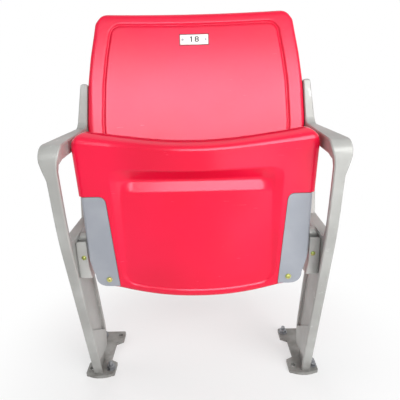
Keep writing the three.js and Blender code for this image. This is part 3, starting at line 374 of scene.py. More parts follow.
def choose(kind, test):
    # Selects the vertices, edges or faces of the open mesh whose middle and direction pass the test
    bpy.ops.mesh.select_mode(type=kind)
    bpy.ops.mesh.select_all(action="DESELECT")
    data = bpy.context.edit_object.data
    mesh = bmesh.from_edit_mesh(data)
    for item in {"VERT": mesh.verts, "EDGE": mesh.edges, "FACE": mesh.faces}[kind]:
        if kind == "VERT":
            middle, along = item.co, item.normal
        elif kind == "EDGE":
            middle = (item.verts[0].co + item.verts[1].co) / 2
            along = (item.verts[1].co - item.verts[0].co).normalized()
        else:
            middle, along = item.calc_center_median(), item.normal
        if test(middle, along):
            item.select_set(True)
    mesh.select_flush_mode()
    bmesh.update_edit_mesh(data)


def setDown(piece, place=None):
    # Moves the piece by a matrix, then applies its place to its mesh
    only(piece)
    if place is not None:
        piece.matrix_world = place @ piece.matrix_world
    bpy.ops.object.transform_apply(location=True, rotation=True, scale=True)


def applyModifier(piece, kind, **settings):
    only(piece)
    modifier = piece.modifiers.new(kind.lower(), kind)
    for key, value in settings.items():
        setattr(modifier, key, value)
    bpy.ops.object.modifier_apply(modifier=modifier.name)


def combine(piece, operation, *others):
    # Cuts the others away, joins them or keeps what is inside them, and discards them
    for other in others:
        applyModifier(piece, "BOOLEAN", operation=operation, solver="EXACT", object=other)
        bpy.data.objects.remove(other)


def tidyNormals(piece):
    beginEdit(piece)
    bpy.ops.mesh.select_all(action="SELECT")
    bpy.ops.mesh.remove_doubles(threshold=0.01 * mm)
    bpy.ops.mesh.normals_make_consistent(inside=False)
    endEdit()


def smoothShade(piece, degrees=32):
    only(piece)
    bpy.ops.object.shade_smooth_by_angle(angle=math.radians(degrees))


def copyOf(piece, name, place):
    twin = piece.copy()
    twin.data = piece.data.copy()
    twin.name = twin.data.name = name
    bpy.context.scene.collection.objects.link(twin)
    setDown(twin, place)
    return twin


def install(piece, body, slot, *nodes, finish=None):
    # The piece takes its finish, rides on its body and stands for its CAD nodes
    piece.data.materials.clear()
    piece.data.materials.append(finishes[finish or slot])
    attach(piece, body)
    if nodes:
        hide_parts(*nodes)


def cylinder(name, radius, low, high, sides):
    # Upright, between two heights
    piece = startWith(name, bpy.ops.mesh.primitive_cylinder_add, vertices=sides, radius=radius * mm,
                      depth=(high - low) * mm, location=(0, 0, (low + high) / 2 * mm))
    setDown(piece)
    return piece


def bevelTop(piece, width, segments):
    # Rounds the edge of the face that looks up
    beginEdit(piece)
    choose("FACE", lambda place, along: along.z > 0.9)
    bpy.ops.mesh.bevel(offset=width * mm, segments=segments, affect="EDGES")
    endEdit()


def limited(share):
    return min(max(share, 0.0), 1.0)


def smooth(share):
    t = limited(share)
    return t * t * (3 - 2 * t)


def ramp(share, soft):
    # A straight climb from 0 to 1 with short round ends
    t, both = limited(share), 2 * soft * (1 - soft)
    if t < soft:
        return t * t / both
    if t > 1 - soft:
        return 1 - (1 - t) ** 2 / both
    return (t - soft / 2) / (1 - soft)


def mix(first, second, share):
    return first + (second - first) * limited(share)


def roundedFall(distance, radius):
    # How far a rounded edge falls back at a distance from it
    if distance >= radius:
        return 0.0
    inside = radius - max(distance, 0.0)
    return radius - math.sqrt(radius * radius - inside * inside)


def steps(start, end, count):
    # Even steps from the start up to, but without, the end
    return [start + (end - start) * i / count for i in range(count)]


# Shares of a rounded edge at which the shells have rows and columns, close together at the rim
edgeShares = [0, 0.03, 0.1, 0.22, 0.4, 0.65, 1]


def insideCorner(x, z, halfWidth, edge, corner):
    # Distance inside an outline with a side at halfWidth, an end at edge and a round corner between
    across, along = halfWidth - x, z - edge
    if across < corner and along < corner:
        return corner - math.hypot(corner - across, corner - along)
    return min(across, along)


def mouldedShell(name, rows, columns, front, rear):
    # A grid standing up in front, thickened backwards, with both faces pulled to their form.
    # The columns go from the middle to one side, and the other side mirrors them.
    across, up = len(columns) * 2 - 2, len(rows) - 1
    piece = startWith(name, bpy.ops.mesh.primitive_grid_add, x_subdivisions=across, y_subdivisions=up,
                      size=2, rotation=(math.pi / 2, 0, 0))
    setDown(piece)
    beginEdit(piece)
    bpy.ops.mesh.select_all(action="SELECT")
    bpy.ops.mesh.extrude_region_move(TRANSFORM_OT_translate={"value": (0, 1, 0)})
    endEdit()
    for vertex in piece.data.vertices:
        column = round((vertex.co.x + 1) * across / 2) - len(columns) + 1
        row = rows[round((vertex.co.z + 1) * up / 2)]
        face = rear if vertex.co.y > 0.5 else front
        x, y, z = face(row, columns[abs(column)])
        vertex.co = (math.copysign(x, column) * mm, y * mm, z * mm)
    tidyNormals(piece)
    applyModifier(piece, "SUBSURF", levels=1, render_levels=1)
    return piece


# Seat shell, in places from the hinge axis with the seat folded up

seatForm = {
    "halfFront": 239.5, "halfRear": 229, "front": 226, "rear": -106, "frontCrown": 18, "rearCrown": 18,
    "crownFrom": 154, "rearCrownHalf": 175, "rearTaper": 19, "rearTaperFrom": -10,
    "underside": -35, "thickness": 47, "bulgeFront": 22, "bulgeRear": 14, "bulgeHalf": 168,
    "frontCorner": 28, "rearCorner": 38, "lipRound": 16, "lipLean": 5, "lipTurn": 12, "sideRound": 12,
    "topRound": 9, "wideColumns": 108, "columnsFrom": 178,
}
recessForm = {
    "foot": -90, "corner": 26, "footWall": 4, "innerRear": 153, "innerFront": 149, "outerRear": 162,
    "outerFront": 173, "panelRear": 3, "panelFront": 6, "panelTop": 105.5, "plateauCorner": 18,
    "flatter": 0.9, "trough": 129.5, "troughDepth": 15, "troughFrom": 126, "troughTo": 156, "lip": 157.5,
    "topCorner": 18, "rampEnds": 0.12, "wallEnds": 0.16, "footRows": 34, "troughRows": 8, "lipRows": 6,
}
rebateForm = {
    "outer": 229.5, "widthTop": 47.5, "widthFoot": 61, "top": 101, "foot": -100, "innerCorner": 14,
    "groove": 1.2, "depth": 3.3, "sideFrom": 226.2, "above": 1.5, "past": 12, "ahead": 9,
    "sideDeep": 30, "sideThick": 120,
}


def seatWidth(z):
    s = seatForm
    straight = mix(s["halfRear"], s["halfFront"], (z - s["rear"]) / (s["front"] - s["rear"]))
    straight -= s["rearTaper"] * max(0.0, (s["rearTaperFrom"] - z) / (s["rearTaperFrom"] - s["rear"]))
    corners = roundedFall(s["front"] - z, s["frontCorner"]) + roundedFall(z - s["rear"], s["rearCorner"])
    return straight - corners


def seatPlace(z, column):
    s = seatForm
    width = seatWidth(z)
    edge = width - s["sideRound"]
    x = column if column <= s["columnsFrom"] else mix(s["columnsFrom"], edge, column - s["columnsFrom"])
    if column > s["columnsFrom"] + 1:
        x = mix(edge, width, column - s["columnsFrom"] - 1)
    frontShare = smooth((z - s["crownFrom"]) / (s["front"] - s["crownFrom"]))
    rearShare = 1 - smooth((z - s["rear"]) / (recessForm["panelTop"] - s["rear"]))
    dip = s["frontCrown"] * frontShare * (1 - (x / width) ** 2)
    dip += s["rearCrown"] * rearShare * (1 - min(x / s["rearCrownHalf"], 1) ** 3)
    return x, z - dip, width - x


def seatBulge(x, z):
    s = seatForm
    share = min(x / s["bulgeHalf"], 1)
    height = mix(s["bulgeRear"], s["bulgeFront"], (z - s["rear"]) / (s["front"] - s["rear"]))
    return height * (1 - share ** 2) ** 2


def recessDepth(x, z):
    # A framed panel with side walls, a trough along its upper edge and a climb from there to the lip
    s, r = seatForm, recessForm
    along = (z - s["rear"]) / (r["lip"] - s["rear"])
    outer, inner = mix(r["outerRear"], r["outerFront"], along), mix(r["innerRear"], r["innerFront"], along)
    wall = outer - inner
    across, up = outer - roundedFall(r["lip"] - z, r["topCorner"]) - x, z - r["foot"]
    corner = r["corner"] + r["footWall"]
    inside, slope = min(across, up), wall if across < up else r["footWall"]
    if across < corner and up < corner:
        reach = Vector((corner - across, corner - up))
        inside = corner - reach.length
        slope = mix(r["footWall"], wall, (reach.x / max(reach.length, 0.001)) ** 2)
    elif across < wall:
        inside, slope = across, wall
    height = (z - r["foot"]) / (r["panelTop"] - r["foot"])
    floor = mix(r["panelRear"], r["panelFront"], height)
    turn = r["plateauCorner"]
    outside = math.hypot(max(x - inner + turn, 0), max(z - r["panelTop"] + turn, 0)) - turn
    descent = ramp(outside / (r["trough"] - r["panelTop"]), r["rampEnds"])
    ends = ramp((r["troughTo"] - x) / (r["troughTo"] - r["troughFrom"]), r["wallEnds"])
    floor += (r["troughDepth"] - r["panelFront"]) * descent * ends
    floor += seatBulge(x, z) * r["flatter"] * smooth(height)
    floor *= ramp((r["lip"] - z) / (r["lip"] - r["trough"]), r["rampEnds"])
    return floor * ramp(inside / slope, r["wallEnds"])


def lipFall(distance):
    # The lip leans back from a crease, then turns over
    s = seatForm
    share = limited(1 - distance / s["lipRound"])
    return s["lipLean"] * share + s["lipTurn"] * share ** 4


def seatUnderside(z, column):
    s = seatForm
    x, height, fromSide = seatPlace(z, column)
    side = roundedFall(fromSide, s["sideRound"])
    front = lipFall(s["front"] - z)
    rear = roundedFall(z - s["rear"], s["sideRound"])
    fall = min(math.hypot(side, front, rear), s["lipLean"] + s["lipTurn"])
    return x, s["underside"] - seatBulge(x, z) + recessDepth(x, z) + fall, height


def seatTop(z, column):
    s = seatForm
    x, height, fromSide = seatPlace(z, column)
    side = roundedFall(fromSide, s["topRound"])
    end = roundedFall(min(s["front"] - z, z - s["rear"]), s["topRound"])
    fall = min(math.hypot(side, end), s["topRound"])
    return x, s["underside"] + s["thickness"] - seatBulge(x, z) - fall, height


def rebateCutter(side):
    # The bracket's outline, sunk into the underside: a block with a slanted side and two round corners
    r = rebateForm
    grow = r["groove"]
    low, high = r["foot"] - grow, r["top"] + grow
    innerFoot, innerTop = r["outer"] - r["widthFoot"] - grow, r["outer"] - r["widthTop"] - grow
    outer = r["outer"] + r["past"]
    y0, y1 = seatForm["underside"] - r["ahead"], seatForm["underside"] + r["depth"]
    cutter = startWith("rebateCutter", bpy.ops.mesh.primitive_cube_add, size=1)
    cutter.scale = ((outer - innerFoot) * mm, (y1 - y0) * mm, (high - low) * mm)
    cutter.location = ((outer + innerFoot) / 2 * mm, (y0 + y1) / 2 * mm, (low + high) / 2 * mm)
    setDown(cutter)
    beginEdit(cutter)
    choose("VERT", lambda place, _: place.x < (innerFoot + 1) * mm and place.z > 0)
    bpy.ops.transform.translate(value=((innerTop - innerFoot) * mm, 0, 0))
    choose("EDGE", lambda place, _: place.x < (innerTop + 1) * mm and place.z > (high - 1) * mm)
    bpy.ops.mesh.bevel(offset=r["innerCorner"] * mm, segments=8, affect="EDGES")
    endEdit()
    if side < 0:
        setDown(cutter, Matrix.Scale(-1, 4, (1, 0, 0)))
        tidyNormals(cutter)
    return cutter


def addSeatShell():
    # Rows and columns lie closer together where the form turns
    s, c, r = seatForm, recessForm, rebateForm
    footEnd, panelEnd = c["foot"] + c["footRows"], c["panelTop"] - c["troughRows"]
    lipEnd = c["lip"] + c["lipRows"]
    rows = [s["rear"] + s["sideRound"] * share for share in edgeShares]
    rows += steps(c["foot"] - 2, footEnd, 18) + steps(footEnd, panelEnd, 12) + steps(panelEnd, lipEnd, 30)
    rows += steps(lipEnd, s["front"] - s["lipRound"] - 1, 9)
    rows += [s["front"] - s["lipRound"] * share
             for share in (1.04, 1, 0.96, 0.85, 0.7, 0.55, 0.4, 0.28, 0.18, 0.1, 0.05, 0.02, 0)]
    start = s["columnsFrom"]
    columns = steps(0, s["wideColumns"], 10) + steps(s["wideColumns"], start, 28)
    columns += [start + share for share in (0, 0.33, 0.66)]
    columns += [start + 2 - share for share in reversed(edgeShares)]
    piece = mouldedShell("seatShell", rows, columns, seatUnderside, seatTop)
    for side in (1, -1):
        block = startWith("sideCutter", bpy.ops.mesh.primitive_cube_add, size=1)
        low, high = s["rear"] - r["sideDeep"], r["top"] + r["above"]
        block.scale = (r["sideDeep"] * mm, r["sideThick"] * mm, (high - low) * mm)
        block.location = (side * (r["sideFrom"] + r["sideDeep"] / 2) * mm, 0, (low + high) / 2 * mm)
        setDown(block)
        combine(piece, "DIFFERENCE", block, rebateCutter(side))
    setDown(piece, Matrix.Translation(hingePlace))
    smoothShade(piece)
    install(piece, "seat", "red_shell", "seat_shell")
    print("seat shell:", len(piece.data.polygons), "faces")


# Back shell, in the plane of the uprights' front faces from the arm's height

backForm = {
    "foot": -188, "top": 255, "halfArm": 249.2, "halfFoot": 232, "topCrown": 2, "corner": 27,
    "footCorner": 30, "sag": 20, "sagHalf": 198, "frontSagHalf": 236, "thickness": 29.88, "frontRound": 9,
    "rimSide": 33, "rimTop": 22, "groove": 8, "grooveDepth": 3, "grooveCorner": 20, "grooveSoft": 0.6,
    "lineIn": 24, "lineOut": 7, "lineFromEdge": 8, "halfWayDown": 0.75, "footRows": 16, "middleRows": -10,
    "topRows": 30, "rimRows": 8,
    "widths": [(0.03, 1), (0.388, 0.982), (0.62, 0.951), (0.815, 0.915), (1, 0.883)],
}
plateForm = {"width": 65, "height": 22, "centre": 198, "thickness": 1.5, "pocket": 1.6, "gap": 0.8,
             "corner": 1.5, "pocketBlock": 20, "bedding": 0.3, "edge": 0.5, "edgeRise": 0.2}
digitForm = {"height": 12.2, "capShare": 0.7, "space": 1.12, "bold": 0.32, "wide": 1.26, "raise": 0.12,
             "ahead": 0.2, "flagLong": 3.4, "flagThick": 1.5, "flagTurn": 38, "flagIn": 0.6, "flagBelow": 1,
             "flagShare": 0.9}


def backStraight(z):
    # Half the width at a height, without the round corners
    b = backForm
    table = [(b["foot"], b["halfFoot"]), (b["foot"] / 2, mix(b["halfFoot"], b["halfArm"], b["halfWayDown"]))]
    table += [(b["top"] * height, b["halfArm"] * width) for height, width in b["widths"]]
    for (z0, w0), (z1, w1) in zip(table, table[1:]):
        if z <= z1:
            return mix(w0, w1, (z - z0) / (z1 - z0))
    return table[-1][1]


def backPoint(z, column):
    # A column lies in a zone: the panel, the groove's line, the rim or the rounded edge
    b = backForm
    straight = backStraight(z)
    width = straight - roundedFall(b["top"] - z, b["corner"]) - roundedFall(z - b["foot"], b["footCorner"])
    edge = width - b["frontRound"]
    line = min(straight - b["rimSide"] - b["groove"] / 2, edge - b["lineFromEdge"])
    zone, share = column
    x = {"panel": (line - b["lineIn"]) * share, "line": line + share,
         "rim": mix(line + b["lineOut"], edge, share), "edge": mix(edge, width, share)}[zone]
    crown = smooth(z / b["top"]) * (1 - (x / width) ** 2)
    return x, z + b["topCrown"] * crown, width - x


def backSag(x, half):
    return backForm["sag"] * (1 - min(x / half, 1) ** 2)


def backFall(z, fromSide):
    b = backForm
    side = roundedFall(fromSide, b["frontRound"])
    end = roundedFall(min(b["top"] - z, z - b["foot"]), b["frontRound"])
    return min(math.hypot(side, end), b["frontRound"])


def backFront(z, column):
    b = backForm
    x, height, fromSide = backPoint(z, column)
    line = backStraight(z) - b["rimSide"] - b["groove"] / 2
    topLine = b["top"] - b["rimTop"] - b["groove"] / 2
    away = insideCorner(x, -z, line, -topLine, b["grooveCorner"])
    channel = smooth(1 - abs(away) / (b["groove"] / 2 + b["grooveSoft"]))
    return x, backSag(x, b["frontSagHalf"]) + b["grooveDepth"] * channel + backFall(z, fromSide), height


def backRear(z, column):
    b = backForm
    x, height, fromSide = backPoint(z, column)
    return x, b["thickness"] + backSag(x, b["sagHalf"]) - backFall(z, fromSide), height


def addBackShell():
    b, p = backForm, plateForm
    topLine = b["top"] - b["rimTop"] - b["groove"] / 2
    middle, top = b["middleRows"], topLine - b["topRows"]
    rows = [b["foot"] + b["frontRound"] * share for share in edgeShares]
    rows += steps(b["foot"] + b["footRows"], middle, 8) + steps(middle, top, 20)
    rows += steps(top, topLine + b["rimRows"], 24)
    rows += [b["top"] - b["frontRound"] * share for share in reversed(edgeShares)]
    columns = [("panel", share) for share in steps(0, 1, 14)]
    columns += [("line", place) for place in steps(-b["lineIn"], b["lineOut"], 22)]
    columns += [("rim", share) for share in steps(0, 1, 4)]
    columns += [("edge", 1 - share) for share in reversed(edgeShares)]
    piece = mouldedShell("backShell", rows, columns, backFront, backRear)
    pocket = startWith("pocketCutter", bpy.ops.mesh.primitive_cube_add, size=1)
    pocket.scale = Vector((p["width"] + 2 * p["gap"], p["pocketBlock"], p["height"] + 2 * p["gap"])) * mm
    pocket.location = (0, (b["sag"] + p["pocket"] - p["pocketBlock"] / 2) * mm, p["centre"] * mm)
    setDown(pocket)
    beginEdit(pocket)
    choose("EDGE", lambda place, along: abs(along.y) > 0.9)
    bpy.ops.mesh.bevel(offset=p["corner"] * mm, segments=4, affect="EDGES")
    endEdit()
    combine(piece, "DIFFERENCE", pocket)
    setDown(piece, backTurn)
    smoothShade(piece)
    install(piece, "frame", "red_shell", "back_shell")
    print("back shell:", len(piece.data.polygons), "faces")


def addNumberPlate():
    # A thin plate with rounded corners and a raised middle
    p = plateForm
    front = backForm["sag"] + p["pocket"] - p["bedding"] - p["thickness"]
    plate = startWith("numberPlate", bpy.ops.mesh.primitive_cube_add, size=1)
    plate.scale = (p["width"] * mm, p["thickness"] * mm, p["height"] * mm)
    plate.location = (0, (front + p["thickness"] / 2) * mm, p["centre"] * mm)
    setDown(plate)
    beginEdit(plate)
    choose("EDGE", lambda place, along: abs(along.y) > 0.9)
    bpy.ops.mesh.bevel(offset=p["corner"] * mm, segments=6, affect="EDGES")
    choose("FACE", lambda place, along: along.y < -0.9)
    bpy.ops.mesh.inset(thickness=p["edge"] * mm)
    bpy.ops.transform.translate(value=(0, -p["edgeRise"] * mm, 0))
    endEdit()
    smoothShade(plate, 40)
    setDown(plate, backTurn)
    install(plate, "frame", "white_plate", "number_plate")
    addSeatNumber(Vector((0, (front - digitForm["ahead"]) * mm, p["centre"] * mm)))
    print("number plate and number")


def addSeatNumber(place):
    d = digitForm
    digits = startWith("seatNumber", bpy.ops.object.text_add, rotation=(math.pi / 2, 0, 0))
    digits.data.body = "18"
    digits.data.align_x = digits.data.align_y = "CENTER"
    digits.data.size = d["height"] / d["capShare"] * mm
    digits.data.space_character = d["space"]
    digits.data.offset = d["bold"] * mm
    digits.data.extrude = d["raise"] * mm
    digits.location = place
    digits.scale = (d["wide"], 1, 1)
    bpy.ops.object.convert(target="MESH")
    digits = bpy.context.object
    digits.name = digits.data.name = "seatNumber"
    addFlag(digits)
    setDown(digits, backTurn)
    install(digits, "frame", "white_plate", finish="ink")


def addFlag(digits):
    # The slanting stroke at the top of the 1
    d = digitForm
    bpy.context.view_layer.update()
    corners = [digits.matrix_world @ vertex.co for vertex in digits.data.vertices]
    top, foot = max(c.z for c in corners), min(c.z for c in corners)
    stem = min(c.x for c in corners if c.x < 0 and c.z < foot + 1 * mm)
    turn, reach = math.radians(d["flagTurn"]), d["flagLong"] / 2 * mm
    flag = startWith("numberFlag", bpy.ops.mesh.primitive_cube_add, size=1)
    flag.location = (stem + d["flagIn"] * mm - reach * math.cos(turn), digits.location.y,
                     top - d["flagBelow"] * mm - reach * math.sin(turn))
    flag.rotation_euler = (0, -turn, 0)
    flag.scale = (2 * reach, 2 * d["raise"] * d["flagShare"] * mm, d["flagThick"] * mm)
    digits.select_set(True)
    bpy.context.view_layer.objects.active = digits
    bpy.ops.object.join()


addSeatShell()
addBackShell()
addNumberPlate()


# Metal pieces that keep their CAD shape, with rounded edges and smooth shading

castForm = {"merge": 0.02, "flat": 0.4, "edgeAngle": 38, "smooth": 34}
castings = {
    "Standard": {"node": "_standard", "edge": 0.9, "body": "frame"},
    # The housings take the lighter copy of the casting coat, painted light
    "Housing": {"node": "_hinge_housing", "edge": 0.7, "body": "frame", "finish": "litCasting"},
    "Bracket": {"node": "_seat_bracket", "edge": 0.8, "body": "seat"},
    "Pin": {"node": "_pivot_pin", "edge": 0.3, "body": "seat"},
    "Bush": {"node": "_pivot_bush", "edge": 0.3, "body": "frame"},
    "Spring": {"node": "_return_spring", "edge": 0, "body": "frame"},
}


def roundedCopy(node, name, edge, body, finish=None):
    c = castForm
    piece = bpy.data.objects.new(name, frame["nodes"][node].data.copy())
    piece.data.name = name
    bpy.context.scene.collection.objects.link(piece)
    only(piece)
    bpy.ops.mesh.customdata_custom_splitnormals_clear()
    beginEdit(piece)
    bpy.ops.mesh.select_all(action="SELECT")
    bpy.ops.mesh.remove_doubles(threshold=c["merge"] * mm)
    bpy.ops.mesh.dissolve_limited(angle_limit=math.radians(c["flat"]))
    endEdit()
    if edge:
        applyModifier(piece, "BEVEL", width=edge * mm, segments=2, limit_method="ANGLE",
                      angle_limit=math.radians(c["edgeAngle"]), use_clamp_overlap=True)
    smoothShade(piece, c["smooth"])
    applyModifier(piece, "WEIGHTED_NORMAL", keep_sharp=True)
    install(piece, body, slotOf[node], node, finish=finish)


def addCastings():
    for side in ("left", "right"):
        for kind, form in castings.items():
            roundedCopy(side + form["node"], side + kind, form["edge"], form["body"], form.get("finish"))
    print("castings, brackets and hinge parts")


footForm = {
    "middle": 261, "inward": 40, "outward": 32, "fromSide": 12, "frontHole": 18, "rearHole": 147, "top": 8,
    "hole": 6, "spare": 0.15, "pad": 10.5, "padRise": 0.9, "padEdge": 0.5, "sides": 40,
}


def footHole(sign, inside, front):
    f = footForm
    across = f["middle"] + (f["fromSide"] - f["inward"] if inside else f["outward"] - f["fromSide"])
    along = f["frontHole"] if front else f["rearHole"]
    return Vector((sign * across * mm, along * mm + sketchShift, f["top"] * mm))


def addFootPads():
    # Low machined rings round the holes of the foot plates
    f = footForm
    pad = cylinder("footPad", f["pad"], -f["padRise"], f["padRise"], f["sides"])
    bevelTop(pad, f["padEdge"], 3)
    deep = 3 * f["padRise"]
    combine(pad, "DIFFERENCE", cylinder("padCutter", f["hole"] + f["spare"], -deep, deep, f["sides"]))
    smoothShade(pad)
    for side, sign in (("left", -1), ("right", 1)):
        for inside in (True, False):
            for front in (True, False):
                name = side + ("Front" if front else "Rear") + ("Inner" if inside else "Outer") + "FootPad"
                place = Matrix.Translation(footHole(sign, inside, front))
                install(copyOf(pad, name, place), "frame", "casting")
    bpy.data.objects.remove(pad)
    print("foot pads")


# Fasteners, made once each with the head up and its underside at height 0

pinForm = {"sides": 40, "collar": 0.16, "collarHeight": 0.26, "domeHeight": 0.95, "domeRadius": 0.4,
           "tip": 0.25, "slotLong": 1.12, "slotWide": 0.2, "slotDeep": 0.5, "slotTurn": 22, "slotTaper": 0.45}
hexForm = {"sides": 48, "coneTop": 0.96, "coneSlope": 1.9, "rim": 0.6, "dish": 0.3, "tip": 0.6}
anchorForm = {"washer": 11.5, "washerHeight": 1.6, "washerEdge": 0.4, "stud": 4.8, "studRise": 9,
              "studDown": 8.4, "studTip": 1.1}
fastenerForm = {
    "flangeBolt": {"radius": 6, "height": 3.4, "shank": 3, "length": 17},
    "housingScrew": {"radius": 5, "height": 3, "shank": 2.5, "length": 14},
    "sideScrew": {"radius": 5, "height": 2.6, "shank": 2.4, "length": 15},
    "plateRivet": {"radius": 2.6, "height": 1, "shank": 1.2, "length": 7, "crossed": False},
    "backBolt": {"across": 13, "height": 5, "shank": 4, "length": 18.6},
    "pivotNut": {"across": 13, "height": 5.3, "bore": 4.5},
    "footAnchor": {"across": 17, "height": 8, "bore": 4.6},
}
backPlaces = {"rivetAcross": 26.5, "rivetFront": 19.5, "boltAcross": 233, "boltRear": 36.6,
              "lower": -110, "upper": 56}


def headedPin(name, radius, height, shank, length, crossed=True):
    # A collared, domed head on a shank with a chamfered tip. Its form is in shares of these sizes.
    p = pinForm
    base = height * p["collarHeight"]
    dome = min((height - base) * p["domeHeight"], radius * p["domeRadius"])
    piece = cylinder(name, radius, 0, base, p["sides"])
    beginEdit(piece)
    choose("FACE", lambda place, along: along.z > 0.9)
    bpy.ops.mesh.inset(thickness=radius * p["collar"] * mm)
    bpy.ops.mesh.extrude_region_move(TRANSFORM_OT_translate={"value": (0, 0, (height - base) * mm)})
    bpy.ops.mesh.bevel(offset=dome * mm, segments=6, affect="EDGES")
    choose("FACE", lambda place, along: along.z < -0.9)
    bpy.ops.mesh.inset(thickness=(radius - shank) * mm)
    bpy.ops.mesh.extrude_region_move(TRANSFORM_OT_translate={"value": (0, 0, -length * mm)})
    bpy.ops.mesh.bevel(offset=shank * p["tip"] * mm, segments=2, affect="EDGES")
    endEdit()
    if crossed:
        for turn in (0, 90):
            combine(piece, "DIFFERENCE", slotCutter(radius, height, turn))
    smoothShade(piece)
    return piece


def slotCutter(radius, height, turn):
    # One tapered bar of the cross recess
    p = pinForm
    bar = startWith("slotCutter", bpy.ops.mesh.primitive_cube_add, size=1)
    bar.scale = (radius * p["slotLong"] * mm, radius * p["slotWide"] * mm, height * p["slotDeep"] * 2 * mm)
    bar.location = (0, 0, height * mm)
    bar.rotation_euler = (0, 0, math.radians(turn + p["slotTurn"]))
    setDown(bar)
    beginEdit(bar)
    choose("FACE", lambda place, along: along.z < -0.9)
    bpy.ops.transform.resize(value=(p["slotTaper"], p["slotTaper"], 1))
    endEdit()
    return bar


def hexBody(name, across, height):
    # A six-sided block, its corners chamfered by a cone
    h = hexForm
    piece = cylinder(name, across / 2 / math.cos(math.pi / 6), 0, height, 6)
    top = across / 2 * h["coneTop"]
    cone = startWith("coneCutter", bpy.ops.mesh.primitive_cone_add, vertices=h["sides"], radius2=top * mm,
                     radius1=(top + height * h["coneSlope"]) * mm, depth=height * mm,
                     location=(0, 0, height / 2 * mm))
    setDown(cone)
    combine(piece, "INTERSECT", cone)
    return piece


def hexBolt(name, across, height, shank, length):
    h = hexForm
    piece = hexBody(name, across, height)
    beginEdit(piece)
    choose("FACE", lambda place, along: along.z < -0.9)
    bpy.ops.mesh.inset(thickness=(across / 2 - shank) * mm)
    bpy.ops.mesh.extrude_region_move(TRANSFORM_OT_translate={"value": (0, 0, -length * mm)})
    bpy.ops.mesh.bevel(offset=h["tip"] * mm, segments=2, affect="EDGES")
    choose("FACE", lambda place, along: along.z > 0.9)
    bpy.ops.mesh.inset(thickness=h["rim"] * mm)
    bpy.ops.transform.translate(value=(0, 0, -h["dish"] * mm))
    endEdit()
    smoothShade(piece)
    return piece


def hexNut(name, across, height, bore):
    piece = hexBody(name, across, height)
    combine(piece, "DIFFERENCE", cylinder("boreCutter", bore, -1.5 * height, 1.5 * height, hexForm["sides"]))
    smoothShade(piece)
    return piece


def studAnchor(name, across, height, bore):
    # A floor anchor: hex nut on a washer, with the end of its stud above and its shank in the hole
    a, sides = anchorForm, hexForm["sides"]
    piece = hexNut(name, across, height, bore)
    setDown(piece, Matrix.Translation((0, 0, a["washerHeight"] * mm)))
    washer = cylinder("anchorWasher", a["washer"], 0, a["washerHeight"], sides)
    bevelTop(washer, a["washerEdge"], 2)
    high = a["washerHeight"] + height + a["studRise"]
    stud = cylinder("anchorStud", a["stud"], -a["studDown"], high, sides)
    bevelTop(stud, a["studTip"], 2)
    combine(piece, "UNION", washer, stud)
    smoothShade(piece)
    return piece


def boxOf(node):
    low, high = (Vector(corner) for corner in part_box(node))
    return low, high, (low + high) / 2


def addFasteners():
    makers = {"flangeBolt": headedPin, "housingScrew": headedPin, "sideScrew": headedPin,
              "plateRivet": headedPin, "backBolt": hexBolt, "pivotNut": hexNut, "footAnchor": studAnchor}
    masters = {kind: make(kind, **fastenerForm[kind]) for kind, make in makers.items()}
    forward, backward = (Matrix.Rotation(turn * math.pi / 2, 4, "X") for turn in (1, -1))
    for side, sign in (("left", -1), ("right", 1)):
        outward = Matrix.Rotation(sign * math.pi / 2, 4, "Y")
        for kind, name, node, body in (("flangeBolt", "FlangeBolt", "_flange_bolt", "seat"),
                                       ("housingScrew", "HousingScrew", "_housing_screw", "frame")):
            low, _, middle = boxOf(side + node)
            seated = low.y + fastenerForm[kind]["height"] * mm
            place = Matrix.Translation((middle.x, seated, middle.z)) @ forward
            install(copyOf(masters[kind], side + name, place), body, "zinc", side + node)
        for end in ("front", "rear"):
            node = side + "_" + end + "_side_screw"
            low, high, middle = boxOf(node)
            seated = (high.x if sign > 0 else low.x) - sign * fastenerForm["sideScrew"]["height"] * mm
            place = Matrix.Translation((seated, middle.y, middle.z)) @ outward
            made = copyOf(masters["sideScrew"], side + end.title() + "SideScrew", place)
            install(made, "seat", "zinc", node)
        node = side + "_pivot_nut"
        low, high, middle = boxOf(node)
        place = Matrix.Translation((low.x if sign > 0 else high.x, middle.y, middle.z)) @ outward
        install(copyOf(masters["pivotNut"], side + "PivotNut", place), "seat", "zinc", node)
        node, b = side + "_plate_rivet", backPlaces
        spot = Vector((sign * b["rivetAcross"], b["rivetFront"], plateForm["centre"])) * mm
        place = backTurn @ Matrix.Translation(spot) @ forward
        install(copyOf(masters["plateRivet"], side + "PlateRivet", place), "frame", slotOf[node], node)
        for level in ("lower", "upper"):
            node = side + "_" + level + "_back_bolt"
            spot = Vector((sign * b["boltAcross"], b["boltRear"], b[level])) * mm
            place = backTurn @ Matrix.Translation(spot) @ backward
            made = copyOf(masters["backBolt"], side + level.title() + "BackBolt", place)
            install(made, "frame", "zinc", node)
    lift = Matrix.Translation((0, 0, footForm["padRise"] * mm))
    for name, sign, inside, front in (("leftFront", -1, True, True), ("leftRear", -1, False, False),
                                      ("rightFront", 1, False, True), ("rightRear", 1, True, False)):
        made = copyOf(masters["footAnchor"], name + "FootAnchor",
                      Matrix.Translation(footHole(sign, inside, front)) @ lift)
        install(made, "frame", "zinc", finish="anchor")
    for master in masters.values():
        bpy.data.objects.remove(master)
    print("fasteners")


addCastings()
addFootPads()
addFasteners()


# Floor and light, in metres and watts

studio = {"sky": 0.12, "floor": 30, "floorTone": 0.78, "floorRough": 0.7, "glow": 0.45, "poolFrom": 0.2,
          "poolTo": 0.65}
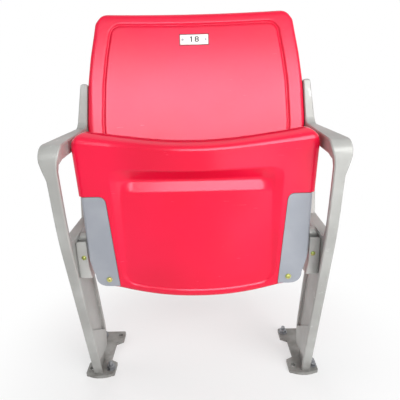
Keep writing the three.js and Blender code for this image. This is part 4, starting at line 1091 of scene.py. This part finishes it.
# A lamp that isn't mirrored lights surfaces and leaves no glare at flat angles
lamps = {
    "keyRight": {"place": (1.0, -1.0, 0.95), "target": (0.1, -0.05, 0.45), "size": (0.85, 1.05), "power": 16,
                 "mirrored": False},
    "frontSoft": {"place": (0.35, -2.0, 1.62), "target": (0.05, 0, 0.5), "size": (1.8, 0.75), "power": 35.5},
    "lowRight": {"place": (0.9, -1.3, 0.14), "target": (0.24, -0.06, 0.45), "size": (1.2, 0.4), "power": 2.2},
    "topSoft": {"place": (0.1, 0.4, 2.6), "target": (0, 0, 0.4), "size": (2.0, 1.4), "power": 6},
    "backFill": {"place": (-0.5, 2.0, 0.45), "target": (0, 0.1, 0.5), "size": (1.8, 0.6), "power": 30,
                 "mirrored": False},
    "leftFill": {"place": (-1.9, 0.15, 0.8), "target": (-0.2, 0, 0.45), "size": (1.2, 1.0), "power": 12,
                 "mirrored": False},
}


def seenShare(board):
    # 1 where the camera or a reflection looks, 0 for the light that falls on the object
    camera, glossy, passed = (board.node("ShaderNodeLightPath", {}, {}, out="Is " + kind + " Ray")
                              for kind in ("Camera", "Glossy", "Transmission"))
    return board.maths("ADD", camera + glossy, passed, clamp=True)


def addFloor():
    # Pale floor: its shadow stays, and what the camera and reflections see of it is close to white
    floor = startWith("studioFloor", bpy.ops.mesh.primitive_plane_add, size=studio["floor"])
    f = Finish("studioFloor", Roughness=studio["floorRough"], Base_Color=(studio["floorTone"],) * 3 + (1,))
    x, y = f.axis("X"), f.axis("Y")
    far = f.maths("SQRT", x * x + y * y).over(studio["poolFrom"], studio["poolTo"])
    share = seenShare(f) * (far * (1 - studio["glow"]) + studio["glow"])
    surface, glow = Wire(f, f.shader.outputs[0]), f.node("ShaderNodeEmission", {}, {})
    blend = f.node("ShaderNodeMixShader", {}, {0: share, 1: surface, 2: glow})
    f.tree.links.new(blend.socket, f.tree.nodes["Material Output"].inputs["Surface"])
    floor.data.materials.append(f.material)


def addLamp(name, place, target, size, power, mirrored=True):
    data = bpy.data.lights.new(name, "AREA")
    data.shape = "RECTANGLE"
    data.size, data.size_y = size
    data.energy = power
    lamp = bpy.data.objects.new(name, data)
    lamp.visible_glossy = mirrored
    bpy.context.scene.collection.objects.link(lamp)
    aim = (Vector(target) - Vector(place)).to_track_quat("-Z", "Y")
    lamp.matrix_world = Matrix.Translation(place) @ aim.to_matrix().to_4x4()


def addSky():
    # White where the camera and reflections look, softer as light on the object
    world = bpy.data.worlds.new("studio")
    bpy.context.scene.world = world
    world.use_nodes = True
    board = Board(world.node_tree)
    back = board.tree.nodes["Background"]
    back.inputs["Color"].default_value = (1, 1, 1, 1)
    strength = seenShare(board) * (1 - studio["sky"]) + studio["sky"]
    board.tree.links.new(strength.socket, back.inputs["Strength"])


addFloor()
for name, lamp in lamps.items():
    addLamp(name, **lamp)
addSky()
bpy.context.scene.view_settings.view_transform = "Standard"
print("floor and light are set")
